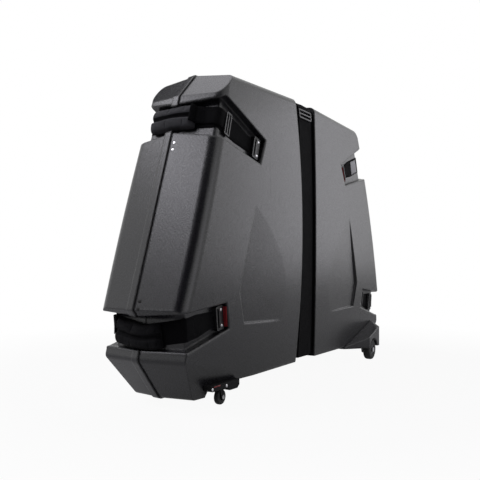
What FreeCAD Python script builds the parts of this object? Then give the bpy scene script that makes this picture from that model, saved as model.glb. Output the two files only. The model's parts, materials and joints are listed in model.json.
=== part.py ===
import FreeCAD, Part
import functools
import math
import os

# Hard bike travel case: two moulded clamshell halves that meet at an upright seam along
# the middle of the case, closed by webbing straps, on swivel casters and fixed wheels.
# Millimetres. +Z is up with Z = 0 on the floor, +X runs from the caster end to the wheel
# end, +Y from the right half to the left half. The origin is on the floor, mid-case.

V = FreeCAD.Vector

# Moulded body. A reach is measured along the case from the middle of the girth channel,
# a height from the floor.
wall = 3.0
half_width = 120.0
side_crown = 15.0
nose_reach = 673.0
nose_height = 247.0
nose_lean = 0.334
nose_sweep = 0.16
corner_radius = 32.0
roof_height = 874.0
crown_height = roof_height / 2.0 + 20.0
crown_span = roof_height - crown_height - 13.0
roof_fall = 0.036
roof_pitch = 0.113
shoulder_radius = 20.0
top_bevel_reach = nose_reach - 252.0
top_bevel_height = roof_height - 12.0
top_bevel_slope = 1.0
bottom_height = 54.0
lower_bevel_top_reach = nose_reach - 24.0
lower_bevel_top_height = 217.0
lower_step_reach = nose_reach - 22.0
lower_step_height = 143.0
lower_nose_reach = nose_reach - 16.0
lower_nose_height = 125.0
lower_nose_radius = 14.0
lower_end_slope = 0.8
lower_end_radius = 18.0
skid_height = 21.0
skid_inner_reach = nose_reach - 161.0
skid_ramp = 5.0
deck_height = 50.0
deck_inner_reach = nose_reach - 243.0
crease_outer_reach = nose_reach - 39.0
crease_outer_height = 125.0
crease_inner_reach = nose_reach - 314.0
crease_inner_height = 60.0
facet_lean = 0.4

# Seam between the halves, its gasket and the lip that keeps the halves in line
seam_gap = 3.0
seam_strip_width = 24.0
seam_strip_rise = 3.0
gasket_inset = 1.2
gasket_clearance = 0.3
lip_thickness = 2.5
lip_inside = 24.0
lip_reach = 10.0
lip_clearance = 0.4
seam_rivet_offset = 12.0
seam_rivet_heights = (663.0, 645.0, 267.0, 249.0)
rivet_head_radius = 4.0
rivet_head_height = 1.6
rivet_shank_radius = 2.0

# Girth channel round the middle
channel_half_length = 73.0
channel_waist_half_length = 49.0
channel_depth = 10.0
channel_flange = 3.0
channel_flange_inset = 1.0
girth_strap_width = 76.0
girth_strap_thickness = 3.0
seat_clearance = 0.3

# Strap recesses in the ends
recess_depth = 22.0
recess_rim_radius = 4.0
strap_width = 56.0
strap_thickness = 2.5
sleeve_width = 60.0
sleeve_rise = 4.0
sleeve_right_reach = 48.0
sleeve_left_reach = 92.0
sleeve_groove_width = 7.0
sleeve_groove_depth = 11.0
sleeve_round = 5.0

# Side panel pressed into each moulding
panel_depth = 7.0
panel_top = (nose_reach - 343.0, 515.0)
panel_elbow = (nose_reach - 264.0, 283.0)
panel_foot = (nose_reach - 291.0, 198.0)
panel_tip = (nose_reach - 496.0, 191.0)
panel_run_out = 90.0

# Strap anchors
plate_length = 30.0
plate_width = 62.0
plate_thickness = 12.0
plate_slot_length = 7.0
plate_slot_width = 50.0
plate_end_gap = 9.0
plate_rivet_spacing = 41.0
plate_rivet_from_end = 8.0
tab_thickness = 3.0
tab_height = 17.0
tab_gap = 5.0
buckle_length = 24.0
buckle_bar = 4.0
buckle_thickness = 5.0
buckle_from_corner = 34.0
girth_buckle_height = roof_height - 52.0
girth_buckle_length = 28.0

# Swivel casters under the skid end, each in a housing beside the skid
caster_reach = nose_reach - 193.0
caster_track = 113.0
housing_outer_reach = caster_reach + 56.0
housing_inner_reach = caster_reach - 76.0
housing_near = 90.0
housing_far = 127.5
housing_top = 56.0
housing_bottom = 41.0
heel_reach = caster_reach - 30.0
heel_bottom = 33.0
housing_rivet_reaches = (caster_reach + 48.0, caster_reach - 15.0)
housing_rivet_height = 47.0
housing_rivet_grip = 8.0
caster_wheel_radius = 19.5
caster_wheel_width = 13.0
caster_hub_radius = 9.0
caster_axle_radius = 3.0
caster_trail = 5.0
caster_cheek = 2.5
caster_cheek_gap = 0.8
caster_crown_radius = 11.0
caster_crown_thickness = 3.5
caster_pocket_clearance = 1.8
kingpin_radius = 4.0
kingpin_head_radius = 6.0
kingpin_head_thickness = 1.0
kingpin_clearance = 0.8

# Fixed wheels and their covers under the other end
wheel_reach = 437.0
wheel_track = 169.0
wheel_radius = 36.0
wheel_width = 26.0
wheel_hub_radius = 16.0
wheel_axle_radius = 5.0
axle_cap_radius = 8.0
axle_cap_thickness = 3.0
cover_tip_reach = 318.0
cover_rear_reach = 566.0
cover_rear_height = 131.0
cover_inner_width = 92.0
cover_width = 186.0
cover_crest_height = 98.0
cover_bottom = 46.0
cover_rear_inset = 70.0
wheel_arch_clearance = 6.0
running_fit = 0.05

# Foam lining
lining_thickness = 8.0
lining_margin = 60.0

BIG = 2000.0
back_reach = -110.0


class Band:
    """Outline of one strap recess, as reach and height, from the seam round to its end."""

    def __init__(self, seam, corner_top, corner_bottom, end_top, end_bottom):
        self.seam = seam
        self.corner_top = corner_top
        self.corner_bottom = corner_bottom
        self.end_top = end_top
        self.end_bottom = end_bottom

    def level(self):
        """Height of the middle of the strap where it crosses the seam."""
        return sum(self.seam) / 2.0 + 1.0

    def outline(self):
        """Closed outline that runs out past the nose of the case."""
        far = nose_reach + 100.0
        low, high = self.seam
        return [(far, high), (nose_line(high) + 2.0, high), self.corner_top, self.end_top,
                self.end_bottom, self.corner_bottom, (nose_line(low) + 2.0, low), (far, low)]

    def end_middle(self):
        """Middle of the recess's inner end."""
        return middle(self.end_top, self.end_bottom)

    def corner_middle(self):
        """Middle of the recess where it turns round the corner of the case."""
        return middle(self.corner_top, self.corner_bottom)

    def strip(self, width, start):
        """Straight strip along the recess, level past the corner, from a distance off its end."""
        end = self.end_middle()
        corner = self.corner_middle()
        along = unit(end, corner)
        across = (-along[1], along[0])
        half = width / 2.0
        begin = (end[0] + along[0] * start, end[1] + along[1] * start)
        level = self.level()
        far = nose_reach + 100.0
        turn = (corner[0], level)
        return [shifted(begin, across, half), (turn[0], level + half), (far, level + half),
                (far, level - half), (turn[0], level - half), shifted(begin, across, -half)]


def middle(a, b):
    """Point halfway between two."""
    return ((a[0] + b[0]) / 2.0, (a[1] + b[1]) / 2.0)


def unit(a, b):
    """Direction from one point to another."""
    length = math.hypot(b[0] - a[0], b[1] - a[1])
    return ((b[0] - a[0]) / length, (b[1] - a[1]) / length)


def shifted(point, direction, distance):
    """Point moved along a direction."""
    return (point[0] + direction[0] * distance, point[1] + direction[1] * distance)


def nose_line(height):
    """Reach of the leaning end face at the seam."""
    return nose_reach - nose_lean * (height - nose_height)


def crown_radius():
    """Radius of the crowned side."""
    return (side_crown ** 2 + crown_span ** 2) / (2.0 * side_crown)


def side(height):
    """Half width of the crowned side at a height."""
    radius = crown_radius()
    return half_width + side_crown - radius + math.sqrt(radius ** 2 - (height - crown_height) ** 2)


upper_band = Band((roof_height - 178.0, roof_height - 110.0), (nose_reach - 216.0, roof_height - 90.0),
                  (nose_reach - 167.0, roof_height - 198.0), (nose_reach - 406.0, roof_height - 174.0),
                  (nose_reach - 373.0, roof_height - 244.0))
lower_band = Band((lower_step_height, lower_bevel_top_height), (nose_reach - 33.0, lower_bevel_top_height + 23.0),
                  (nose_reach - 51.0, lower_step_height + 7.0), (nose_reach - 205.0, lower_bevel_top_height + 40.0),
                  (nose_reach - 219.0, lower_step_height + 48.0))


def offset_outline(points, distance):
    """Outline moved inwards by a distance, or outwards where it is negative."""
    area = 0.0
    for (a, b), (c, d) in zip(points, points[1:] + points[:1]):
        area += a * d - b * c
    turn = 1.0 if area > 0 else -1.0
    moved = []
    for i, corner in enumerate(points):
        before = unit(points[i - 1], corner)
        after = unit(corner, points[(i + 1) % len(points)])
        n1 = (-before[1] * turn, before[0] * turn)
        n2 = (-after[1] * turn, after[0] * turn)
        scale = distance / (1.0 + n1[0] * n2[0] + n1[1] * n2[1])
        moved.append((corner[0] + (n1[0] + n2[0]) * scale, corner[1] + (n1[1] + n2[1]) * scale))
    return moved


def rounded_wire(points, radii, place):
    """Closed wire through the points, with an arc at each corner whose radius is not zero."""
    edges = []
    last = None
    first = None
    for i, corner in enumerate(points):
        radius = radii.get(i, 0.0)
        back = unit(corner, points[i - 1])
        on = unit(corner, points[(i + 1) % len(points)])
        start = corner
        end = corner
        if radius > 0.0:
            angle = math.acos(back[0] * on[0] + back[1] * on[1])
            reach = radius / math.tan(angle / 2.0)
            start = shifted(corner, back, reach)
            end = shifted(corner, on, reach)
            inward = unit(corner, middle(start, end))
            crest = shifted(corner, inward, radius / math.sin(angle / 2.0) - radius)
        if last is not None:
            edges.append(Part.LineSegment(place(*last), place(*start)).toShape())
        else:
            first = start
        if radius > 0.0:
            edges.append(Part.Arc(place(*start), place(*crest), place(*end)).toShape())
        last = end
    edges.append(Part.LineSegment(place(*last), place(*first)).toShape())
    return Part.Wire(edges)


def side_prism(points, radii=None, start=0.0, run=V(0, -300.0, 0)):
    """Solid whose outline is drawn in reach and height and run out across the case."""
    wire = rounded_wire(points, radii or {}, lambda u, z: V(u, start, z))
    return Part.Face(wire).extrude(run)


def block(low, high):
    """Box between two corners."""
    size = [high[i] - low[i] for i in range(3)]
    return Part.makeBox(size[0], size[1], size[2], V(*low))


def half_space(point, outward):
    """Large block on the inner side of a plane."""
    cube = Part.makeBox(BIG, BIG, BIG, V(-BIG / 2, -BIG / 2, -BIG))
    cube.Placement = FreeCAD.Placement(point, FreeCAD.Rotation(V(0, 0, 1), outward))
    return cube


@functools.lru_cache(maxsize=None)
def crowned_block(inset):
    """Right half of one end with its crowned side, swept and leaning end face and round corner."""
    low = -100.0
    high = roof_height + 100.0
    width = half_width + side_crown - inset
    drop = crown_radius() - inset
    ends = []
    for height in (low, high):
        bow = drop - math.sqrt(drop ** 2 - (height - crown_height) ** 2)
        ends.append(V(back_reach, -width + bow, height))
    edges = [Part.Arc(ends[0], V(back_reach, -width, crown_height), ends[1]).toShape()]
    corners = [ends[1], V(back_reach, 0, high), V(back_reach, 0, low), ends[0]]
    for a, b in zip(corners, corners[1:]):
        edges.append(Part.LineSegment(a, b).toShape())
    face = Part.Face(Part.Wire(edges))
    outward = V(1.0, -nose_sweep, nose_lean).normalize()
    nose = V(nose_reach, 0, nose_height) - outward * inset
    shape = face.extrude(V(2.0 * nose_reach, 0, 0)).common(half_space(nose, outward))
    corner = [e for e in shape.Edges if on_corner(e, nose, outward, width)]
    return shape.makeFillet(max(corner_radius - inset, 1.0), corner)


def on_corner(edge, nose, outward, width):
    """True for the edge where the leaning end face meets the crowned side."""
    point = edge.valueAt((edge.FirstParameter + edge.LastParameter) / 2.0)
    return abs((point - nose).dot(outward)) < 0.01 and -point.y > width - side_crown


def end_outline(skid):
    """Seam outline of one end, which runs out clear of the leaning end face."""
    top = roof_height + 100.0
    clear = 60.0
    meet = nose_reach + nose_lean * nose_height - top_bevel_reach - top_bevel_slope * top_bevel_height
    bevel_end = meet / (nose_lean - top_bevel_slope) - clear
    bevel = [(top_bevel_reach + (top_bevel_height - z) * top_bevel_slope, z) for z in (top, bevel_end)]
    lower_top = (lower_bevel_top_reach, lower_bevel_top_height)
    lower_far = shifted(lower_top, unit(lower_top, (nose_reach, nose_height)), 1.5 * clear)
    base = skid_height if skid else bottom_height
    lower_end = (lower_nose_reach - lower_end_slope * (lower_nose_height - base), base)
    points = [(back_reach, top)] + bevel
    points += [lower_far, lower_top, (lower_step_reach, lower_step_height)]
    return points + [(lower_nose_reach, lower_nose_height), lower_end, (back_reach, base)]


def end_prism(inset, skid):
    """Solid that trims the top bevel, the lower nose and the bottom, swept back from the seam."""
    start = 5.0
    points = [(u + nose_sweep * start, z) for u, z in offset_outline(end_outline(skid), inset)]
    radii = {6: max(lower_nose_radius - inset, 0.0), 7: max(lower_end_radius - inset, 0.0)}
    return side_prism(points, radii, start, V(-nose_sweep * 300.0, -300.0, 0))


@functools.lru_cache(maxsize=None)
def roof_prism(inset):
    """Solid under the pitched roof with its round shoulder, flared to clear the crowned side."""
    ridge = roof_height + roof_fall * channel_half_length - inset
    eaves = ridge - roof_pitch * half_width
    width = side(eaves) - inset
    flare = (eaves - crown_height) / crown_radius()
    rise = -roof_fall * back_reach
    inner = 50.0
    points = [(inner, ridge + roof_pitch * inner + rise), (-width, eaves + rise),
              (-width - flare * (eaves + 100.0), -100.0), (inner, -100.0)]
    radii = {1: max(shoulder_radius - inset, 1.0)}
    wire = rounded_wire(points, radii, lambda y, z: V(back_reach, y, z))
    length = nose_reach + 60.0 - back_reach
    return Part.Face(wire).extrude(V(length, 0, -roof_fall * length))


def underside(inset):
    """Solid above the bottom, the caster deck and the inner end of the skid."""
    far = nose_reach + 100.0
    top = roof_height + 100.0
    outline = [(back_reach, bottom_height), (deck_inner_reach, deck_height),
               (skid_inner_reach - skid_ramp, deck_height), (skid_inner_reach, skid_height),
               (skid_inner_reach, -100.0), (far, -100.0), (far, top), (back_reach, top)]
    return side_prism(offset_outline(outline, inset), start=5.0)


def under_facet(inset):
    """Half space inside the slanting facet under the skid end."""
    outer = V(crease_outer_reach, -side(crease_outer_height), crease_outer_height)
    inner = V(crease_inner_reach, -side(crease_inner_height), crease_inner_height)
    outward = (inner - outer).cross(V(0, facet_lean, -1.0)).normalize()
    return half_space(outer - outward * inset, outward)


@functools.lru_cache(maxsize=None)
def plain_body(inset, skid):
    """Right half of one end without its recesses."""
    shape = crowned_block(inset).common(end_prism(inset, skid))
    return shape.common(underside(inset)) if skid else shape


@functools.lru_cache(maxsize=None)
def whole_body(inset, skid):
    """Right half of one end with its roof and facet, without its recesses."""
    shape = plain_body(inset, skid).common(roof_prism(inset))
    return shape.common(under_facet(inset)) if skid else shape


def side_point(point, depth):
    """Point on the crowned side at a reach and height, below its surface by a depth."""
    return V(point[0], -(side(point[1]) - depth), point[1])


def panel_cutter(inset):
    """Wedge that presses the side panel in, deepest at its elbow and running out to nothing."""
    deep = middle(panel_elbow, panel_foot)
    top = side_point(panel_top, 0.0)
    tip = side_point(panel_tip, 0.0)
    low = side_point(deep, panel_depth)
    outward = (tip - top).cross(low - top).normalize()
    if outward.y > 0:
        outward = outward * -1.0
    run_out = (panel_tip[0] - panel_run_out, middle(panel_top, panel_tip)[1])
    outline = offset_outline([panel_top, panel_elbow, panel_foot, panel_tip, run_out], -inset)
    return side_prism(outline).cut(half_space(top - outward * inset, outward))


def moulding(inset, skid):
    """Right half of one end with its strap recesses and side panel, as seen from inside or outside."""
    core = plain_body(recess_depth + inset, skid)
    shape = whole_body(inset, skid).cut(panel_cutter(inset))
    for band in (upper_band, lower_band):
        shape = shape.cut(side_prism(offset_outline(band.outline(), -inset), start=5.0).cut(core))
    return shape


def rim_edges(shape, skid, band):
    """Edges where a recess meets the outside, without the long one under the roof's shoulder."""
    surface = whole_body(0.0, skid).Shells[0]
    walls = side_prism(band.outline(), start=5.0).Shells[0]
    shoulder = Part.LineSegment(V(band.end_top[0], 0, band.end_top[1]), V(band.corner_top[0], 0, band.corner_top[1]))
    found = []
    for edge in shape.Edges:
        point = edge.valueAt((edge.FirstParameter + edge.LastParameter) / 2.0)
        spot = Part.Vertex(point)
        if point.y > -1.0 or spot.distToShape(walls)[0] > 0.02 or spot.distToShape(surface)[0] > 0.02:
            continue
        flat = Part.Vertex(V(point.x, 0, point.z))
        if band is lower_band or flat.distToShape(shoulder.toShape())[0] > 0.5:
            found.append(edge)
    return found


def rounded_rims(shape, skid):
    """Outside of the moulding with the rims of its recesses rounded."""
    for band in (upper_band, lower_band):
        shape = shape.makeFillet(recess_rim_radius, rim_edges(shape, skid, band))
    return shape


def rim_region(outer, inner):
    """Region along the case between two bowed lines that follow the edge of the girth channel."""
    top = (channel_half_length, roof_height + 40.0)
    waist = (channel_waist_half_length, crown_height)
    foot = (channel_half_length, 2.0 * crown_height - top[1])
    arcs = []
    for shift in (outer, inner):
        points = [V(u + shift, 10.0, z) for u, z in (top, waist, foot)]
        arcs.append(Part.Arc(*points).toShape())
    caps = []
    for end in (0, -1):
        caps.append(Part.LineSegment(arcs[0].Vertexes[end].Point, arcs[1].Vertexes[end].Point).toShape())
    wire = Part.Wire(Part.__sortEdges__(arcs + caps))
    return Part.Face(wire).extrude(V(0, -300.0, 0))


def slab(low, high):
    """Slice of space between two distances across the case."""
    return block((-BIG / 2, low, -BIG / 2), (BIG / 2, high, BIG / 2))


def mirror_x(shape):
    """Copy at the other end of the case."""
    return shape.mirror(V(0, 0, 0), V(1, 0, 0))


def mirror_y(shape):
    """Copy on the other half of the case."""
    return shape.mirror(V(0, 0, 0), V(0, 1, 0))


def turned(shape):
    """Copy half a turn round, on the other half and at the other end."""
    return mirror_x(mirror_y(shape))


class EndForms:
    """The moulded forms of one end of the case, worked out once and shared by its pieces."""

    def __init__(self, skid):
        self.skid = skid
        self.beyond_rim = rim_region(nose_reach, 0.0)
        self.outside = rounded_rims(moulding(0.0, skid), skid)
        self.inside = moulding(wall, skid)

    def shell(self):
        """Shell of the right half, up to the seam and the rim of the girth channel."""
        half = slab(-BIG / 2, -seam_gap / 2.0)
        return self.outside.common(self.beyond_rim).common(half).cut(self.inside)

    def seam_strip(self):
        """Proud strip beside the seam, left out where the recesses cross it."""
        proud = whole_body(-seam_strip_rise, self.skid).common(self.beyond_rim)
        proud = proud.common(slab(-seam_strip_width, -seam_gap / 2.0)).cut(self.inside)
        for band in (upper_band, lower_band):
            proud = proud.cut(side_prism(band.outline(), start=5.0))
        return proud

    def layer(self, outer, inner, low, high):
        """Thin layer that follows the moulding inside, across part of the width."""
        shape = moulding(outer, self.skid).cut(moulding(inner, self.skid))
        return shape.common(self.beyond_rim).common(slab(low, high))

    def band_layer(self, outer, inner, outline, low):
        """Soft layer in a recess, from the seam to a distance across the case."""
        shape = plain_body(outer, self.skid).cut(plain_body(inner, self.skid))
        return shape.common(side_prism(outline, start=5.0)).common(slab(low, 0.0))


def channel_half():
    """One end's half of the girth channel on the right half of the case, still whole at the seam."""
    flange = whole_body(channel_flange_inset, False).common(rim_region(0.0, -channel_flange))
    flute = whole_body(channel_depth, False).common(rim_region(-channel_flange, -2.0 * channel_half_length))
    shape = flange.fuse(flute).cut(whole_body(channel_depth + channel_flange, False))
    return shape.common(block((0.0, -BIG / 2, 0.0), (BIG / 2, 0.0, BIG / 2)))


def whole_channel():
    """Girth channel of the right half, still whole at the seam."""
    part = channel_half()
    return part.fuse(mirror_x(part)).removeSplitter()


def ring_layer(outer, inner, half_length):
    """Closed band round the middle of the case between two depths."""
    shape = whole_body(outer, False).cut(whole_body(inner, False))
    shape = shape.common(block((0.0, -BIG / 2, 0.0), (half_length, 0.0, BIG / 2)))
    quarter = shape.fuse(mirror_x(shape))
    return quarter.fuse(mirror_y(quarter)).removeSplitter()


class Frame:
    """Flat seat on the side of the case: along, across and outward from a point."""

    def __init__(self, point, along, depth):
        slope = -2.0 * side_crown * (point[1] - crown_height) / crown_span ** 2
        self.origin = side_point(point, depth)
        self.out = V(0, -1.0, -slope).normalize()
        self.across = self.out.cross(V(along[0], 0, along[1])).normalize()
        self.along = self.across.cross(self.out).normalize()

    def place(self, shape):
        """Shape drawn flat, moved to the seat."""
        a, c, o, p = self.along, self.across, self.out, self.origin
        matrix = FreeCAD.Matrix(a.x, c.x, o.x, p.x, a.y, c.y, o.y, p.y, a.z, c.z, o.z, p.z, 0, 0, 0, 1)
        shape.Placement = FreeCAD.Placement(matrix)
        return shape

    def point(self, x, y, z):
        """Point given along, across and outward."""
        return self.origin + self.along * x + self.across * y + self.out * z


def band_frame(band):
    """Seat on the floor of a recess, at its inner end."""
    end = band.end_middle()
    return Frame(end, unit(end, band.corner_middle()), recess_depth)


def rounded_plate(length, width, thickness, radius, x0, z0):
    """Flat plate with round corners."""
    plate = block((x0, -width / 2.0, z0), (x0 + length, width / 2.0, z0 + thickness))
    upright = [e for e in plate.Edges if abs(e.tangentAt(e.FirstParameter).z) > 0.9]
    return plate.makeFillet(radius, upright)


def anchor_plate():
    """Anchor plate with its webbing slot and rivet holes, drawn flat."""
    plate = rounded_plate(plate_length, plate_width, plate_thickness, 4.0, plate_end_gap, seat_clearance)
    slot_end = plate_end_gap + plate_length - 5.0
    half = plate_slot_width / 2.0
    slot = block((slot_end - plate_slot_length, -half, 0), (slot_end, half, 20.0))
    plate = plate.cut(slot)
    for sign in (-1.0, 1.0):
        centre = V(plate_end_gap + plate_rivet_from_end, sign * plate_rivet_spacing / 2.0, 0)
        plate = plate.cut(Part.makeCylinder(rivet_shank_radius + running_fit, 20.0, centre))
    return plate


def release_tab():
    """Coloured tab that stands between the anchor plate and the end of the recess, drawn flat."""
    half = (plate_rivet_spacing + plate_width) / 4.0
    tab = block((tab_gap, -half, seat_clearance), (tab_gap + tab_thickness, half, seat_clearance + tab_height))
    folded = [e for e in tab.Edges if abs(e.CenterOfMass.z - tab_height - seat_clearance) < 0.01
              and abs(e.tangentAt(e.FirstParameter).y) > 0.9]
    return tab.makeFillet(tab_thickness * 0.45, folded)


def slide_buckle(length, width, x0, z0):
    """Slide buckle with a middle bar, drawn flat."""
    plate = rounded_plate(length, width, buckle_thickness, 4.0, x0, z0)
    window = (length - 3.0 * buckle_bar) / 2.0
    for start in (buckle_bar, 2.0 * buckle_bar + window):
        low = (x0 + start, -width / 2.0 + buckle_bar, z0 - 1.0)
        high = (x0 + start + window, width / 2.0 - buckle_bar, z0 + buckle_thickness + 1.0)
        plate = plate.cut(block(low, high))
    return plate


def rivet(seat, outward, grip):
    """Domed rivet whose head sits on a seat and whose shank goes in by its grip."""
    head = Part.makeCone(rivet_head_radius, rivet_head_radius * 0.6, rivet_head_height, seat, outward)
    shank = Part.makeCylinder(rivet_shank_radius, grip, seat - outward * grip, outward)
    return head.fuse(shank).removeSplitter()


def drilled(shape, seats):
    """Shape with a hole for the shank of each rivet."""
    for seat, outward, grip in seats:
        start = seat - outward * (grip + 1.0)
        shape = shape.cut(Part.makeCylinder(rivet_shank_radius + running_fit, grip + 2.0, start, outward))
    return shape


def seam_rivet_seats():
    """Seats of the rivets beside the seam on the leaning end face."""
    outward = V(1.0, -nose_sweep, nose_lean).normalize()
    seats = []
    for height in seam_rivet_heights:
        reach = nose_line(height) - nose_sweep * seam_rivet_offset
        seats.append((V(reach, -seam_rivet_offset, height), outward, wall + lip_clearance + lip_thickness))
    return seats


def anchor_rivet_seats(band):
    """Seats of the two rivets of an anchor plate."""
    frame = band_frame(band)
    seats = []
    for sign in (-1.0, 1.0):
        reach = plate_end_gap + plate_rivet_from_end
        seat = frame.point(reach, sign * plate_rivet_spacing / 2.0, seat_clearance + plate_thickness)
        seats.append((seat, frame.out, seat_clearance + plate_thickness + wall))
    return seats


def caster_rivet_seats():
    """Seats of the two rivets in the outer face of a caster housing."""
    seats = []
    for reach in housing_rivet_reaches:
        seats.append((V(reach, -housing_far, housing_rivet_height), V(0, -1, 0), housing_rivet_grip))
    return seats


def rivet_group(seats):
    """Separate rivets as one group."""
    return Part.makeCompound([rivet(*seat) for seat in seats])


def upright(radius, low, high, reach):
    """Upright cylinder on the caster's track."""
    return Part.makeCylinder(radius, high - low, V(reach, -caster_track, low))


def crosswise(radius, near, far, reach, height):
    """Cylinder across the case between two distances from the seam on the right half."""
    return Part.makeCylinder(radius, far - near, V(reach, -near, height), V(0, -1, 0))


def crown_top():
    """Height of the top of the caster fork's crown, which clears the wheel by the king pin's head."""
    below = kingpin_head_thickness + 2.0 * kingpin_clearance
    return 2.0 * caster_wheel_radius + below + caster_crown_thickness


def caster_housing():
    """Housing under the deck with a pocket for the fork's crown and the king pin that carries it."""
    outline = [(housing_outer_reach, housing_top), (housing_outer_reach - 8.0, housing_bottom),
               (heel_reach + 6.0, housing_bottom), (heel_reach, heel_bottom),
               (housing_inner_reach + 10.0, heel_bottom), (housing_inner_reach, housing_bottom),
               (housing_inner_reach, housing_top)]
    shape = side_prism(outline, {}, -housing_near, V(0, housing_near - housing_far, 0))
    shape = shape.cut(whole_body(-seat_clearance, True))
    ceiling = crown_top() + seat_clearance
    pocket = caster_crown_radius + caster_pocket_clearance
    shape = shape.cut(upright(pocket, heel_bottom, ceiling, caster_reach))
    crown_low = crown_top() - caster_crown_thickness - seat_clearance
    shape = shape.fuse(upright(kingpin_radius, crown_low, ceiling, caster_reach))
    head = upright(kingpin_head_radius, crown_low - kingpin_head_thickness, crown_low, caster_reach)
    return drilled(shape.fuse(head).removeSplitter(), caster_rivet_seats())


def caster_axle_reach():
    """Reach of the caster axle, which trails the king pin towards the middle of the case."""
    return caster_reach - caster_trail


def caster_fork():
    """Fork with a crown on the king pin and two tapering cheeks down to the axle."""
    top = crown_top()
    low = top - caster_crown_thickness
    inner = caster_wheel_width / 2.0 + caster_cheek_gap
    axle = caster_axle_reach()
    boss = caster_axle_radius + 4.0
    hub = caster_wheel_radius
    root = caster_crown_radius * 0.6
    cheek = [(caster_reach + root, top), (axle + boss, hub), (axle + boss / 2.0, hub - boss),
             (axle - boss / 2.0, hub - boss), (axle - boss, hub), (caster_reach - root, top)]
    fork = upright(caster_crown_radius, low, top, caster_reach)
    sweep = upright(caster_crown_radius, 0.0, top, caster_reach)
    for near in (caster_track + inner, caster_track - inner - caster_cheek):
        side_cheek = side_prism(cheek, {1: 3.0, 4: 3.0}, -near, V(0, -caster_cheek, 0))
        over = side_prism([(0, low), (0, top), (BIG, top), (BIG, low)])
        fork = fork.fuse(side_cheek.cut(over.cut(sweep)))
    fork = fork.cut(upright(kingpin_radius + running_fit, low - 1.0, top + 1.0, caster_reach))
    bore = crosswise(caster_axle_radius + running_fit, caster_track - 40.0, caster_track + 40.0, axle, hub)
    return fork.cut(bore).removeSplitter()


def wheel_pieces(radius, hub_radius, axle_radius, width, track, reach):
    """Tyre with a crowned tread and a hub with a bore, on an axle across the case."""
    near = track - width / 2.0
    far = track + width / 2.0
    crown = width * 0.24
    brow = crown * 0.3
    tread = [(hub_radius, near), (radius - crown, near), (radius - brow, near + brow), (radius, near + crown),
             (radius, far - crown), (radius - brow, far - brow), (radius - crown, far), (hub_radius, far)]
    wire = rounded_wire(tread, {}, lambda r, y: V(reach + r, -y, radius))
    tyre = Part.Face(wire).revolve(V(reach, 0, radius), V(0, 1, 0), 360.0)
    dish = 2.0
    hub = crosswise(hub_radius, near + dish, far - dish, reach, radius)
    hub = hub.fuse(crosswise(axle_radius + 3.0, near, far, reach, radius)).removeSplitter()
    hub = hub.cut(crosswise(axle_radius + running_fit, near - 1.0, far + 1.0, reach, radius))
    return tyre, hub


def caster_axle():
    """Caster axle, headed at both ends of the fork."""
    half = caster_wheel_width / 2.0 + caster_cheek_gap + caster_cheek
    axle = caster_axle_reach()
    end = half + seat_clearance
    pin = crosswise(caster_axle_radius, caster_track - end, caster_track + end, axle, caster_wheel_radius)
    for start in (end, -end - 1.5):
        near = caster_track + start
        pin = pin.fuse(crosswise(caster_axle_radius + 2.0, near, near + 1.5, axle, caster_wheel_radius))
    return pin.removeSplitter()


def wheel_inner():
    """Distance from the seam of the cheek that carries a fixed wheel."""
    return wheel_track - wheel_width / 2.0 - 2.0


def wheel_cover():
    """Faceted cover that flares out of the side over a fixed wheel, with a cheek for its axle."""
    tip = V(cover_tip_reach, -side(bottom_height), bottom_height)
    rear = V(cover_rear_reach, -side(cover_rear_height), cover_rear_height)
    crest = V(wheel_reach, -cover_width, cover_crest_height)
    top = (rear - tip).cross(crest - tip).normalize()
    if top.z < 0:
        top = top * -1.0
    front_edge = V(wheel_reach - wheel_radius - wheel_arch_clearance, -cover_width, bottom_height)
    rear_edge = V(cover_rear_reach - cover_rear_inset, -cover_width, bottom_height)
    front = V(0, 0, 1).cross(front_edge - tip).normalize()
    back = V(0, 0, 1).cross(rear - rear_edge).normalize()
    low = (cover_tip_reach, -cover_width, cover_bottom)
    shape = block(low, (cover_rear_reach + 60.0, -cover_inner_width, 200.0))
    shape = shape.common(half_space(tip, top))
    shape = shape.common(half_space(tip, front * (-1.0 if front.x > 0 else 1.0)))
    shape = shape.common(half_space(rear_edge, back * (-1.0 if back.x < 0 else 1.0)))
    inner = wheel_inner()
    root = cover_crest_height - 30.0
    low = wheel_radius - 13.0
    outline = [(wheel_reach - 26.0, root), (wheel_reach - 13.0, low), (wheel_reach + 13.0, low),
               (wheel_reach + 26.0, root)]
    cheek = side_prism(outline, {1: 12.0, 2: 12.0}, 10.0 - inner, V(0, -10.0, 0))
    arch = crosswise(wheel_radius + wheel_arch_clearance, inner, cover_width + 20.0, wheel_reach, wheel_radius)
    shape = shape.fuse(cheek).cut(arch).cut(whole_body(-seat_clearance, False))
    bore = crosswise(wheel_axle_radius + running_fit, inner - 40.0, inner + 5.0, wheel_reach, wheel_radius)
    return shape.cut(bore).removeSplitter()


def wheel_axle():
    """Stub axle of a fixed wheel with its outer cap."""
    far = wheel_track + wheel_width / 2.0 + seat_clearance
    pin = crosswise(wheel_axle_radius, wheel_inner() - 9.0, far, wheel_reach, wheel_radius)
    cap = crosswise(axle_cap_radius, far, far + axle_cap_thickness, wheel_reach, wheel_radius)
    return pin.fuse(cap).removeSplitter()


def lining():
    """Foam pad against the inside of the right half, behind the girth channel."""
    outer = channel_depth + channel_flange + seat_clearance
    shape = whole_body(outer, False).cut(whole_body(outer + lining_thickness, False))
    low = bottom_height + lining_margin
    high = upper_band.end_bottom[1] - lining_margin
    end = lower_band.end_bottom[0] - lining_margin
    neck = upper_band.end_top[0] - lining_margin
    top = roof_height - 2.0 * lining_margin
    outline = [(0.0, low), (end, low), (end, high), (neck, high + lining_margin), (neck, top), (0.0, top)]
    pad = shape.common(side_prism(outline)).common(slab(-BIG / 2, -half_width / 2.0))
    return pad.fuse(mirror_x(pad)).removeSplitter()


def export(name, shape):
    """Write one node."""
    shape.exportStep(os.path.join("parts", name + ".step"))


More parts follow.
